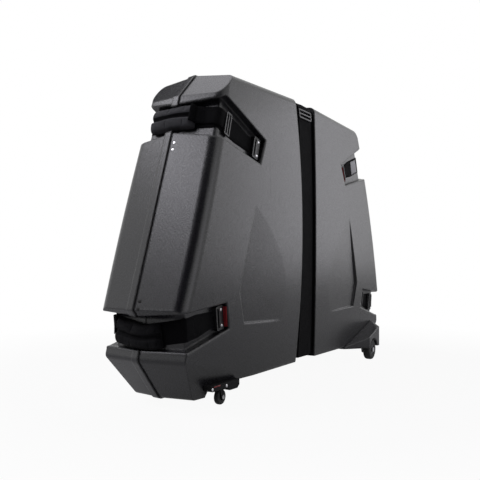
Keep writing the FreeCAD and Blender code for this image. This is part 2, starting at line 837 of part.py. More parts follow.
def export_pair(name, right, left=None):
    """Write a node of the right half and the matching node of the left half."""
    export(name + "_right", right)
    export(name + "_left", mirror_y(right) if left is None else left)


def build_shells(front, rear):
    """Shells, girth channel, gasket and alignment lip."""
    fronts = seam_rivet_seats()
    front_seats = anchor_rivet_seats(upper_band) + anchor_rivet_seats(lower_band)
    front_shell = front.shell()
    rear_shell = rear.shell()
    front_right = drilled(front_shell, fronts + front_seats)
    rear_right = drilled(rear_shell, fronts + front_seats)
    front_left = drilled(front_shell.fuse(front.seam_strip()).removeSplitter(), front_seats)
    rear_left = drilled(rear_shell.fuse(rear.seam_strip()).removeSplitter(), front_seats)
    export_pair("front_shell", mirror_x(front_right), turned(front_left))
    export_pair("rear_shell", rear_right, mirror_y(rear_left))
    channel = whole_channel()
    export_pair("girth_channel", channel.common(slab(-BIG / 2, -seam_gap / 2.0)))
    for name, end, flip in (("front", front, mirror_x), ("rear", rear, lambda shape: shape)):
        outer = wall + lip_clearance
        right = end.layer(outer, outer + lip_thickness, -lip_inside, 0.0)
        left = mirror_y(right.common(slab(-lip_reach, 0.0)))
        export(name + "_seam_lip", flip(drilled(right.fuse(left).removeSplitter(), fronts)))
    ends = [end.layer(gasket_inset, wall, -seam_gap, 0.0) for end in (front, rear)]
    ring = channel.fuse(mirror_x(ends[0])).fuse(ends[1])
    right = ring.common(slab(-seam_gap / 2.0, 0.0))
    left = mirror_y(ring.common(slab(-seam_gap / 2.0 + gasket_clearance, 0.0)))
    export("seam_gasket", right.fuse(left).removeSplitter())
    rivets = [rivet(*seat) for seat in fronts]
    export("seam_rivets", Part.makeCompound(rivets + [mirror_x(piece) for piece in rivets]))


def sleeve(end, band, start, reach):
    """Padded sleeve on one half: two round lobes beside a sewn groove along the middle."""
    under = recess_depth - 2.0 * seat_clearance - strap_thickness
    pad = end.band_layer(-sleeve_rise, under, band.strip(sleeve_width, start), -reach)
    groove = end.band_layer(-2.0 * sleeve_rise, sleeve_groove_depth - sleeve_rise,
                            band.strip(sleeve_groove_width, start), -reach)
    pad = pad.cut(groove)
    top = plain_body(-sleeve_rise, end.skid).Shells[0]
    crests = []
    for edge in pad.Edges:
        point = edge.valueAt((edge.FirstParameter + edge.LastParameter) / 2.0)
        if point.y < -1.0 and Part.Vertex(point).distToShape(top)[0] < 0.02:
            crests.append(edge)
    return pad.makeFillet(sleeve_round, crests)


def build_straps(front, rear):
    """Webbing straps round the ends and the girth, with their padded handle sleeves."""
    inner = recess_depth - seat_clearance
    outer = inner - strap_thickness
    start = plate_end_gap + plate_length + seat_clearance
    for name, end, flip in (("front", front, mirror_x), ("rear", rear, lambda shape: shape)):
        for level, band in (("upper", upper_band), ("lower", lower_band)):
            half = end.band_layer(outer, inner, band.strip(strap_width, start), -BIG / 2)
            strap = half.fuse(mirror_y(half)).removeSplitter()
            export(name + "_" + level + "_strap", flip(strap))
            pads = [sleeve(end, band, start, reach) for reach in (sleeve_right_reach, sleeve_left_reach)]
            export(name + "_" + level + "_handle", flip(pads[0].fuse(mirror_y(pads[1])).removeSplitter()))
    inner = channel_depth - seat_clearance
    export("girth_strap", ring_layer(inner - girth_strap_thickness, inner, girth_strap_width / 2.0))
    seat = Frame((0.0, girth_buckle_height), (0.0, 1.0), inner - girth_strap_thickness)
    width = girth_strap_width + 2.0 * buckle_bar
    buckle = slide_buckle(girth_buckle_length, width, -girth_buckle_length / 2.0, seat_clearance)
    export("girth_buckle", seat.place(buckle))


def build_anchors():
    """Anchor plates, tabs, buckles and rivets at both ends of each strap."""
    rivets = []
    above = 2.0 * seat_clearance + strap_thickness
    for name, other, flip in (("front", "rear", mirror_x), ("rear", "front", lambda shape: shape)):
        for level, band in (("upper", upper_band), ("lower", lower_band)):
            frame = band_frame(band)
            plate = flip(frame.place(anchor_plate()))
            export(name + "_" + level + "_anchor_right", plate)
            export(other + "_" + level + "_anchor_left", turned(plate))
            rivets += [flip(rivet(*seat)) for seat in anchor_rivet_seats(band)]
            if (name, level) in (("front", "lower"), ("rear", "upper")):
                tab = flip(frame.place(release_tab()))
                export(name + "_" + level + "_release_tab", tab)
                export(other + "_" + level + "_release_tab", turned(tab))
            else:
                width = strap_width + 2.0 * buckle_bar
                end, corner = band.end_middle(), band.corner_middle()
                reach = math.hypot(corner[0] - end[0], corner[1] - end[1]) - buckle_from_corner - buckle_length
                buckle = flip(frame.place(slide_buckle(buckle_length, width, reach, above)))
                export(name + "_" + level + "_buckle", buckle)
                export(other + "_" + level + "_buckle", turned(buckle))
    right = Part.makeCompound(rivets)
    export_pair("anchor_rivets", right, turned(right))


def build_rolling_gear():
    """Casters under the front and fixed wheels under the rear."""
    export_pair("caster_housing", mirror_x(caster_housing()))
    export_pair("caster_rivets", mirror_x(rivet_group(caster_rivet_seats())))
    export_pair("caster_fork", mirror_x(caster_fork()))
    tyre, hub = wheel_pieces(caster_wheel_radius, caster_hub_radius, caster_axle_radius, caster_wheel_width,
                             caster_track, caster_axle_reach())
    export_pair("caster_tyre", mirror_x(tyre))
    export_pair("caster_hub", mirror_x(hub))
    export_pair("caster_axle", mirror_x(caster_axle()))
    export_pair("wheel_cover", wheel_cover())
    tyre, hub = wheel_pieces(wheel_radius, wheel_hub_radius, wheel_axle_radius, wheel_width,
                             wheel_track, wheel_reach)
    export_pair("wheel_tyre", tyre)
    export_pair("wheel_hub", hub)
    export_pair("wheel_axle", wheel_axle())


def main():
    """Build every node of the case."""
    os.makedirs("parts", exist_ok=True)
    front = EndForms(True)
    rear = EndForms(False)
    build_shells(front, rear)
    build_straps(front, rear)
    build_anchors()
    build_rolling_gear()
    export_pair("foam_lining", lining())


main()
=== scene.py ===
import json
import logging
import math
import random
from dataclasses import dataclass, field, replace
from enum import Enum

import bmesh
import bpy
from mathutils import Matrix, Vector


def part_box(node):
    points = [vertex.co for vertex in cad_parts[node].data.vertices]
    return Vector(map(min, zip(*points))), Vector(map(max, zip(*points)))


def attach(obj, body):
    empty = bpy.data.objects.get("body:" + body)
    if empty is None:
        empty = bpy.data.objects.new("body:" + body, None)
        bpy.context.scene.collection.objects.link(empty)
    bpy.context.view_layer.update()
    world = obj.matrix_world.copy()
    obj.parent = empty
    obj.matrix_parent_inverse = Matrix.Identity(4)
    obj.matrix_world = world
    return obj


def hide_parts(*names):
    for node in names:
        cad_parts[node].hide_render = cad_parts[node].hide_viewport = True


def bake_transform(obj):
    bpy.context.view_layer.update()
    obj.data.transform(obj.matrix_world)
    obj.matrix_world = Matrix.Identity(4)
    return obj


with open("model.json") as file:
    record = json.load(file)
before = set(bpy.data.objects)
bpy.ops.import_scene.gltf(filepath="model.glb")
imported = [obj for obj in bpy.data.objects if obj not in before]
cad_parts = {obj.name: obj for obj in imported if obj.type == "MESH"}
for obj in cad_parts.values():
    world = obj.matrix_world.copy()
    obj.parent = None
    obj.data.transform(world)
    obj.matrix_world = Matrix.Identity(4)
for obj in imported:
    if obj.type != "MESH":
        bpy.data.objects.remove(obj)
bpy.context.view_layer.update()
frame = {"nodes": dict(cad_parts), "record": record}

log = logging.getLogger("bike_case")

Colour = tuple[float, float, float]


class End(Enum):
    """The two ends of the case, with the sign of X that each lies on."""

    FRONT = -1
    REAR = 1


class Level(Enum):
    """The two heights at which a strap runs round an end."""

    UPPER = "upper"
    LOWER = "lower"


class Half(Enum):
    """The two halves, with the sign of Y that each lies on."""

    RIGHT = -1
    LEFT = 1

    @property
    def body(self) -> str:
        """The body that this half's pieces ride on."""
        return f"{self.name.lower()}_half"

    @classmethod
    def of_node(cls, node: str) -> "Half":
        """The half that a CAD node lies on."""
        low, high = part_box(node)
        return cls.RIGHT if low[1] + high[1] < 0.0 else cls.LEFT


@dataclass(frozen=True)
class CaseForm:
    """Outside sizes of the moulded case that the straps follow, in metres."""

    half_width: float = 0.120
    side_crown: float = 0.015
    crown_height: float = 0.457
    crown_span: float = 0.404
    nose_reach: float = 0.673
    nose_height: float = 0.247
    nose_lean: float = 0.334
    nose_sweep: float = 0.16
    low_reach: float = 0.650

    def side(self, z: float) -> float:
        """Half width of the crowned side.

        Args:
            z: height.

        Returns:
            The distance of the side from the seam.
        """
        sag = self.side_crown
        radius = (self.crown_span ** 2 + sag ** 2) / (2.0 * sag)
        rise = min(abs(z - self.crown_height), radius)
        return self.half_width + sag - (radius - math.sqrt(radius ** 2 - rise ** 2))


FORM = CaseForm()


@dataclass(frozen=True)
class Station:
    """A place along a strap: its point, the ways across and out of it, and its run."""

    point: Vector
    across: Vector
    out: Vector
    run: float


@dataclass(frozen=True)
class StrapRoute:
    """The line of one strap in its recess, from the side round the corner to the seam."""

    end: End
    level: Level
    start: tuple[float, float]
    corner: tuple[float, float]
    seam_height: float
    corner_round: float = 0.014
    corner_points: int = 8
    longest_side: float = 0.4
    halvings: int = 40

    def face_reach(self, y: float, z: float, depth: float) -> float:
        """Reach of the end face at a place, sunk by a depth.

        Args:
            y: distance from the seam.
            z: height.
            depth: how far below the face.

        Returns:
            The distance from the middle of the case.
        """
        if self.level is Level.UPPER:
            reach = FORM.nose_reach - FORM.nose_lean * (z - FORM.nose_height)
            slope = math.sqrt(1.0 + FORM.nose_sweep ** 2 + FORM.nose_lean ** 2)
        else:
            reach = FORM.low_reach
            slope = math.sqrt(1.0 + FORM.nose_sweep ** 2)
        return reach - FORM.nose_sweep * abs(y) - depth * slope

    def along(self) -> tuple[float, float]:
        """Unit direction of the strap on the side, toward the corner."""
        du = self.corner[0] - self.start[0]
        dz = self.corner[1] - self.start[1]
        length = math.hypot(du, dz)
        return du / length, dz / length

    def corner_run(self, depth: float) -> float:
        """Finds where the strap meets the end face, by halving.

        Args:
            depth: how far below the shell's surface.

        Returns:
            The run along the side.
        """
        cu, cz = self.along()
        low, high = 0.0, self.longest_side
        for _ in range(self.halvings):
            mid = 0.5 * (low + high)
            z = self.start[1] + cz * mid
            y = FORM.side(z) - depth
            if self.start[0] + cu * mid < self.face_reach(y, z, depth):
                low = mid
            else:
                high = mid
        return low

    def raw_points(self, depth: float, begin: float,
                   count: int) -> list[tuple[Vector, Vector]]:
        """Points and across directions from the side to the seam, before rounding.

        Args:
            depth: how far below the shell's surface.
            begin: run along the side at which the line begins.
            count: points on each of the two runs.

        Returns:
            Points in reach, distance from the seam and height, each with its across direction.
        """
        cu, cz = self.along()
        turn = self.corner_run(depth)
        side_across = Vector((-cz, 0.0, cu))
        lean = FORM.nose_lean if self.level is Level.UPPER else 0.0
        face_across = Vector((-lean, 0.0, 1.0)).normalized()
        pairs = []
        for i in range(count):
            t = begin + (turn - self.corner_round - begin) * i / (count - 1)
            z = self.start[1] + cz * t
            point = Vector((self.start[0] + cu * t, FORM.side(z) - depth, z))
            pairs.append((point, side_across))
        z_turn = self.start[1] + cz * turn
        y_turn = FORM.side(z_turn) - depth
        corner = Vector((self.start[0] + cu * turn, y_turn, z_turn))
        face = []
        rounded = self.corner_round / y_turn
        for i in range(count):
            f = i / (count - 1)
            y = (y_turn - self.corner_round) * (1.0 - f)
            z = z_turn + (self.seam_height - z_turn) * (rounded + f * (1.0 - rounded))
            face.append((Vector((self.face_reach(y, z, depth), y, z)), face_across))
        first, last = pairs[-1], face[0]
        for i in range(1, self.corner_points + 1):
            f = i / (self.corner_points + 1)
            point = first[0] * (1 - f) ** 2 + corner * 2 * f * (1 - f) + last[0] * f ** 2
            pairs.append((point, side_across.lerp(face_across, f).normalized()))
        return pairs + face

    def stations(self, depth: float, begin: float, count: int, half: Half) -> list[Station]:
        """Stations on one half, from the side to the seam, in the case's frame.

        Args:
            depth: how far below the shell's surface.
            begin: run along the side at which the line begins.
            count: points on each of the two runs.
            half: the half the line lies on.

        Returns:
            The stations in order.
        """
        def place(v: Vector) -> Vector:
            """Turns reach, distance and height into the case's frame."""
            return Vector((v.x * self.end.value, v.y * half.value, v.z))

        raw = self.raw_points(depth, begin, count)
        out_hint = Vector((0.6, 1.0, 0.0))
        found = []
        run = 0.0
        for i, (point, across) in enumerate(raw):
            before = raw[max(i - 1, 0)][0]
            after = raw[min(i + 1, len(raw) - 1)][0]
            tangent = (after - before).normalized()
            side_way = (across - tangent * across.dot(tangent)).normalized()
            out = tangent.cross(side_way)
            if out.dot(out_hint) < 0.0:
                out.negate()
            if i:
                run += (point - raw[i - 1][0]).length
            found.append(Station(place(point), place(side_way), place(out), run))
        return found

    def whole(self, depth: float, begin: float, count: int = 26) -> list[Station]:
        """Stations from the right end across the seam to the left end.

        Args:
            depth: how far below the shell's surface.
            begin: run along each side at which the line begins and ends.
            count: points on each run.

        Returns:
            The stations in order.
        """
        right = self.stations(depth, begin, count, Half.RIGHT)
        left = self.stations(depth, begin, count, Half.LEFT)
        total = right[-1].run
        return right + [replace(s, run=2.0 * total - s.run) for s in reversed(left[:-1])]


UPPER_LINE = dict(start=(0.2835, 0.665), corner=(0.4815, 0.730), seam_height=0.731)
LOWER_LINE = dict(start=(0.461, 0.224), corner=(0.631, 0.195), seam_height=0.181,
                  corner_round=0.005)


def route(end: End, level: Level) -> StrapRoute:
    """The strap line of one end at one level."""
    line = UPPER_LINE if level is Level.UPPER else LOWER_LINE
    return StrapRoute(end=end, level=level, **line)


def eased(places: list[Station], window: float) -> list[Station]:
    """Averages a line along its run, so that a kink becomes a curve.

    Args:
        places: stations of the line.
        window: run on each side that is averaged, less near the ends.

    Returns:
        The eased stations, at the same runs.
    """
    found = []
    for place in places:
        reach = min(window, place.run - places[0].run, places[-1].run - place.run) + 1e-6
        near = [s for s in places if abs(s.run - place.run) <= reach]
        point = sum((s.point for s in near), Vector()) / len(near)
        across = sum((s.across for s in near), Vector()).normalized()
        out = sum((s.out for s in near), Vector()).normalized()
        found.append(Station(point, across, out, place.run))
    return found


class NodeTree:
    """Short forms for building node trees."""

    def __init__(self, tree: bpy.types.NodeTree) -> None:
        """Keeps the tree to build in."""
        self.tree = tree

    def add(self, kind: str, **values: object) -> bpy.types.Node:
        """Adds a node.

        Args:
            kind: the node's type without its prefix.
            **values: properties of the node, or numbers and sockets for its inputs, by name
                with spaces as underscores.

        Returns:
            The new node.
        """
        node = self.tree.nodes.new("ShaderNode" + kind)
        for key, value in values.items():
            if hasattr(node, key):
                setattr(node, key, value)
            else:
                self.give(node.inputs[key.replace("_", " ")], value)
        return node

    def give(self, target: bpy.types.NodeSocket, value: object) -> None:
        """Links a socket to an input, or sets the input to a plain value."""
        if isinstance(value, bpy.types.NodeSocket):
            self.link(value, target)
        else:
            target.default_value = value

    def link(self, source: bpy.types.NodeSocket, target: bpy.types.NodeSocket) -> None:
        """Joins two sockets."""
        self.tree.links.new(source, target)

    def math(self, operation: str, a: object, b: object = 0.0) -> bpy.types.NodeSocket:
        """A Math node on two sockets or numbers.

        Args:
            operation: the operation's name.
            a: socket or number.
            b: socket or number.

        Returns:
            The result's socket.
        """
        node = self.add("Math", operation=operation)
        self.give(node.inputs[0], a)
        self.give(node.inputs[1], b)
        return node.outputs[0]

    def raised(self, base: object, value: object, share: object) -> bpy.types.NodeSocket:
        """A base with a share of a value added to it."""
        return self.math("ADD", base, self.math("MULTIPLY", value, share))

    def noise(self, place: bpy.types.NodeSocket, **values: object) -> bpy.types.NodeSocket:
        """Noise at a place, with the values that the texture node takes."""
        return self.add("TexNoise", Vector=place, **values).outputs["Fac"]

    def ramp(self, source: bpy.types.NodeSocket, low: float, high: float) -> bpy.types.NodeSocket:
        """Maps a value between low and high to 0 and 1, held at both ends."""
        return self.add("MapRange", Value=source, From_Min=low, From_Max=high).outputs["Result"]

    def mix(self, factor: object, a: object, b: object) -> bpy.types.NodeSocket:
        """A colour mix.

        Args:
            factor: socket or number.
            a: socket or colour at 0.
            b: socket or colour at 1.

        Returns:
            The mixed colour's socket.
        """
        node = self.add("Mix", data_type="RGBA")
        self.give(node.inputs[0], factor)
        for index, value in ((6, a), (7, b)):
            self.give(node.inputs[index], (*value, 1.0) if isinstance(value, tuple) else value)
        return node.outputs[2]

    def bump(self, height: bpy.types.NodeSocket, shader: bpy.types.Node, strength: float,
             depth: float) -> bpy.types.Node:
        """Feeds a height into a shader's normal.

        Args:
            height: the height's socket.
            shader: the shader.
            strength: strength of the bump.
            depth: depth of the relief, in metres.

        Returns:
            The Bump node.
        """
        node = self.add("Bump", Strength=strength, Distance=depth, Height=height)
        self.link(node.outputs["Normal"], shader.inputs["Normal"])
        return node


class EffectGroups:
    """Shader node groups that several finishes share."""

    def __init__(self) -> None:
        """Builds every group once."""
        self.grain = self.moulded_grain()
        self.drift = self.colour_drift()
        self.wear = self.edge_wear()
        self.weave = self.band_weave()

    @staticmethod
    def start(name: str, inputs: dict[str, float],
              outputs: tuple[str, ...]) -> tuple[NodeTree, bpy.types.Node, bpy.types.Node]:
        """Makes an empty group with float sockets.

        Args:
            name: the group's name.
            inputs: input names with their defaults.
            outputs: output names.

        Returns:
            The tree, its input node and its output node.
        """
        group = bpy.data.node_groups.new(name, "ShaderNodeTree")
        for key, value in inputs.items():
            socket = group.interface.new_socket(key, in_out="INPUT", socket_type="NodeSocketFloat")
            socket.default_value = value
        for key in outputs:
            group.interface.new_socket(key, in_out="OUTPUT", socket_type="NodeSocketFloat")
        tree = NodeTree(group)
        return tree, group.nodes.new("NodeGroupInput"), group.nodes.new("NodeGroupOutput")

    def moulded_grain(self) -> bpy.types.NodeTree:
        """Fine leathery grain of a moulded skin: height and gloss change."""
        tree, source, target = self.start(
            "Moulded grain", {"Scale": 900.0, "Streak": 0.35, "Twill": 0.0}, ("Height", "Gloss"))
        scale = source.outputs["Scale"]
        place = tree.add("TexCoord").outputs["Object"]
        cells = tree.add("TexVoronoi", feature="SMOOTH_F1", Smoothness=0.6, Vector=place, Scale=scale)
        speckle = tree.noise(place, Scale=tree.math("MULTIPLY", scale, 0.45), Detail=3.0, Roughness=0.6)
        stretch = tree.add("Mapping", Rotation=(0.3, 0.9, 0.4), Scale=(1.0, 0.06, 1.0), Vector=place)
        streak = tree.noise(stretch.outputs["Vector"], Scale=scale, Detail=2.0)
        skin = tree.raised(speckle, cells.outputs["Distance"], 0.6)
        skin = tree.raised(skin, streak, source.outputs["Streak"])
        split = tree.add("SeparateXYZ", Vector=place).outputs
        run = tree.math("ADD", split["X"], split["Y"])
        warp = tree.math("MULTIPLY", tree.math("ADD", run, split["Z"]), 1500.0)
        weft = tree.math("MULTIPLY", tree.math("SUBTRACT", run, split["Z"]), 750.0)
        cross = tree.raised(tree.math("SINE", warp), tree.math("SINE", weft), 0.5)
        tree.link(tree.raised(skin, cross, source.outputs["Twill"]), target.inputs["Height"])
        tree.link(tree.ramp(skin, 0.4, 1.3), target.inputs["Gloss"])
        return tree.tree

    def colour_drift(self) -> bpy.types.NodeTree:
        """Slow changes of tone over a large surface, with faint scuffs."""
        tree, source, target = self.start(
            "Colour drift", {"Scale": 3.0, "Scuff": 0.5}, ("Tone", "Scuffs"))
        place = tree.add("TexCoord").outputs["Object"]
        clouds = tree.noise(place, Scale=source.outputs["Scale"], Detail=4.0, Roughness=0.55)
        tree.link(tree.ramp(clouds, 0.3, 0.7), target.inputs["Tone"])
        stretch = tree.add("Mapping", Rotation=(0.5, 0.2, 0.7), Scale=(1.0, 0.05, 0.3), Vector=place)
        marks = tree.ramp(tree.noise(stretch.outputs["Vector"], Scale=60.0, Detail=2.0), 0.66, 0.72)
        patch = tree.ramp(tree.noise(place, Scale=5.0), 0.5, 0.62)
        scuffs = tree.math("MULTIPLY", tree.math("MULTIPLY", marks, patch), source.outputs["Scuff"])
        tree.link(scuffs, target.inputs["Scuffs"])
        return tree.tree

    def edge_wear(self) -> bpy.types.NodeTree:
        """Mask of rubbed outer edges, broken up by noise; the same mask also paints light edge
        highlights on dark hardware.
        """
        tree, source, target = self.start("Edge wear", {"Radius": 0.003, "Amount": 0.5}, ("Worn",))
        rounded = tree.add("Bevel", samples=4, Radius=source.outputs["Radius"])
        plain = tree.add("NewGeometry")
        dot = tree.add("VectorMath", operation="DOT_PRODUCT")
        tree.link(rounded.outputs["Normal"], dot.inputs[0])
        tree.link(plain.outputs["Normal"], dot.inputs[1])
        edge = tree.ramp(tree.math("SUBTRACT", 1.0, dot.outputs["Value"]), 0.02, 0.2)
        rough = tree.noise(tree.add("TexCoord").outputs["Object"], Scale=140.0, Detail=3.0)
        broken = tree.math("MULTIPLY", edge, tree.ramp(rough, 0.4, 0.65))
        tree.link(tree.math("MULTIPLY", broken, source.outputs["Amount"]), target.inputs["Worn"])
        return tree.tree

    def band_weave(self) -> bpy.types.NodeTree:
        """Woven band: rows of threads by the band's own run and width, with fuzz."""
        tree, source, target = self.start(
            "Band weave", {"Thread": 0.0016, "Fuzz": 0.4}, ("Height", "Shade"))
        split = tree.add("SeparateXYZ", Vector=tree.add("UVMap").outputs["UV"]).outputs
        run = tree.math("DIVIDE", split["X"], source.outputs["Thread"])
        wide = tree.math("DIVIDE", split["Y"], source.outputs["Thread"])
        slant = tree.math("ADD", run, tree.math("PINGPONG", wide, 1.0))
        rows = tree.math("ABSOLUTE", tree.math("SINE", tree.math("MULTIPLY", slant, math.pi)))
        cords = tree.math("ABSOLUTE", tree.math("SINE", tree.math("MULTIPLY", wide, math.pi)))
        cloth = tree.raised(tree.math("MULTIPLY", rows, 0.6), cords, 0.4)
        fuzz = tree.noise(tree.add("TexCoord").outputs["Object"], Scale=1400.0, Detail=3.0)
        height = tree.raised(cloth, tree.math("SUBTRACT", fuzz, 0.5), source.outputs["Fuzz"])
        tree.link(height, target.inputs["Height"])
        tree.link(tree.ramp(height, 0.0, 1.0), target.inputs["Shade"])
        return tree.tree


@dataclass(frozen=True)
class PlasticFinish:
    """A moulded plastic: dark body colour under a satin skin."""

    name: str
    dark: Colour
    light: Colour
    # worn: colour of scuffs and rubbed edges, and on dark hardware also the colour of painted edge
    # highlights
    worn: Colour
    roughness: float = 0.42
    spread: float = 0.12
    grain_scale: float = 900.0
    grain_depth: float = 0.0002
    streak: float = 0.35
    # Edge amount and radius: real rubbing on the shell and tyres, and painted light edge highlights on
    # the anchors and buckles
    wear: float = 0.4
    wear_and_highlight_radius: float = 0.003
    metallic: float = 0.0
    specular: float = 0.5
    twill: float = 0.0
    soft_edge: float = 0.0

    def material(self, groups: EffectGroups) -> bpy.types.Material:
        """Builds the material.

        Args:
            groups: shared effect groups.

        Returns:
            The material.
        """
        mat, tree, shader = new_material(self.name)
        shader.inputs["Metallic"].default_value = self.metallic
        shader.inputs["Specular IOR Level"].default_value = self.specular
        grain = place_group(tree, groups.grain, Scale=self.grain_scale, Streak=self.streak,
                            Twill=self.twill)
        drift = place_group(tree, groups.drift, Scale=3.0, Scuff=0.5)
        wear = place_group(tree, groups.wear, Radius=self.wear_and_highlight_radius, Amount=self.wear)
        base = tree.mix(drift.outputs["Tone"], self.dark, self.light)
        scuffed = tree.mix(tree.math("MULTIPLY", drift.outputs["Scuffs"], 0.25), base, self.worn)
        # Edges take the worn colour: rubbed wear, and on the dark anchors and buckles a painted edge
        # highlight
        tree.link(tree.mix(wear.outputs["Worn"], scuffed, self.worn), shader.inputs["Base Color"])
        rough = tree.raised(self.roughness - 0.5 * self.spread, grain.outputs["Gloss"], self.spread)
        rough = tree.raised(rough, drift.outputs["Scuffs"], 0.15)
        tree.link(rough, shader.inputs["Roughness"])
        bump = tree.bump(grain.outputs["Height"], shader, 0.5, self.grain_depth)
        if self.soft_edge:
            rounded = tree.add("Bevel", samples=6, Radius=self.soft_edge)
            tree.link(rounded.outputs["Normal"], bump.inputs["Normal"])
        return mat


@dataclass(frozen=True)
class ClothFinish:
    """A woven band or cover cloth."""

    name: str
    dark: Colour
    light: Colour
    thread: float = 0.0016
    fuzz: float = 0.4
    depth: float = 0.0005
    roughness: float = 0.8
    sheen: float = 0.05
    specular: float = 0.2

    def material(self, groups: EffectGroups) -> bpy.types.Material:
        """Builds the material.

        Args:
            groups: shared effect groups.

        Returns:
            The material.
        """
        mat, tree, shader = new_material(self.name)
        shader.inputs["Sheen Weight"].default_value = self.sheen
        shader.inputs["Sheen Roughness"].default_value = 0.5
        shader.inputs["Specular IOR Level"].default_value = self.specular
        weave = place_group(tree, groups.weave, Thread=self.thread, Fuzz=self.fuzz)
        drift = place_group(tree, groups.drift, Scale=14.0, Scuff=0.2)
        shade = weave.outputs["Shade"]
        tone = tree.math("MULTIPLY", shade, tree.raised(0.7, drift.outputs["Tone"], 0.3))
        tree.link(tree.mix(tone, self.dark, self.light), shader.inputs["Base Color"])
        tree.link(tree.raised(self.roughness + 0.1, shade, -0.2), shader.inputs["Roughness"])
        tree.bump(weave.outputs["Height"], shader, 0.7, self.depth)
        return mat


@dataclass(frozen=True)
class FoamFinish:
    """Open-cell foam."""

    name: str
    dark: Colour
    light: Colour

    def material(self, groups: EffectGroups) -> bpy.types.Material:
        """Builds the material.

        Args:
            groups: shared effect groups.

        Returns:
            The material.
        """
        mat, tree, shader = new_material(self.name)
        shader.inputs["Specular IOR Level"].default_value = 0.2
        grain = place_group(tree, groups.grain, Scale=420.0, Streak=0.0)
        drift = place_group(tree, groups.drift, Scale=9.0, Scuff=0.0)
        gloss = grain.outputs["Gloss"]
        tone = tree.math("MULTIPLY", gloss, tree.raised(0.6, drift.outputs["Tone"], 0.4))
        tree.link(tree.mix(tone, self.dark, self.light), shader.inputs["Base Color"])
        tree.link(tree.raised(0.85, gloss, 0.1), shader.inputs["Roughness"])
        tree.bump(grain.outputs["Height"], shader, 0.8, 0.001)
        return mat


def new_material(name: str) -> tuple[bpy.types.Material, NodeTree, bpy.types.Node]:
    """Makes a material that holds a Principled shader.

    Args:
        name: the material's name.

    Returns:
        The material, its tree and its shader.
    """
    mat = bpy.data.materials.new(name)
    mat.use_nodes = True
    tree = NodeTree(mat.node_tree)
    return mat, tree, mat.node_tree.nodes["Principled BSDF"]


def place_group(tree: NodeTree, group: bpy.types.NodeTree, **values: float) -> bpy.types.Node:
    """Places a shared group in a material with its own values.

    Args:
        tree: the material's tree.
        group: the group.
        **values: inputs by name.

    Returns:
        The group's node.
    """
    node = tree.tree.nodes.new("ShaderNodeGroup")
    node.node_tree = group
    for key, value in values.items():
        node.inputs[key].default_value = value
    return node


def grey(value: float, blue: float = 0.0) -> Colour:
    """A grey with so much more blue."""
    return value, value, value + blue


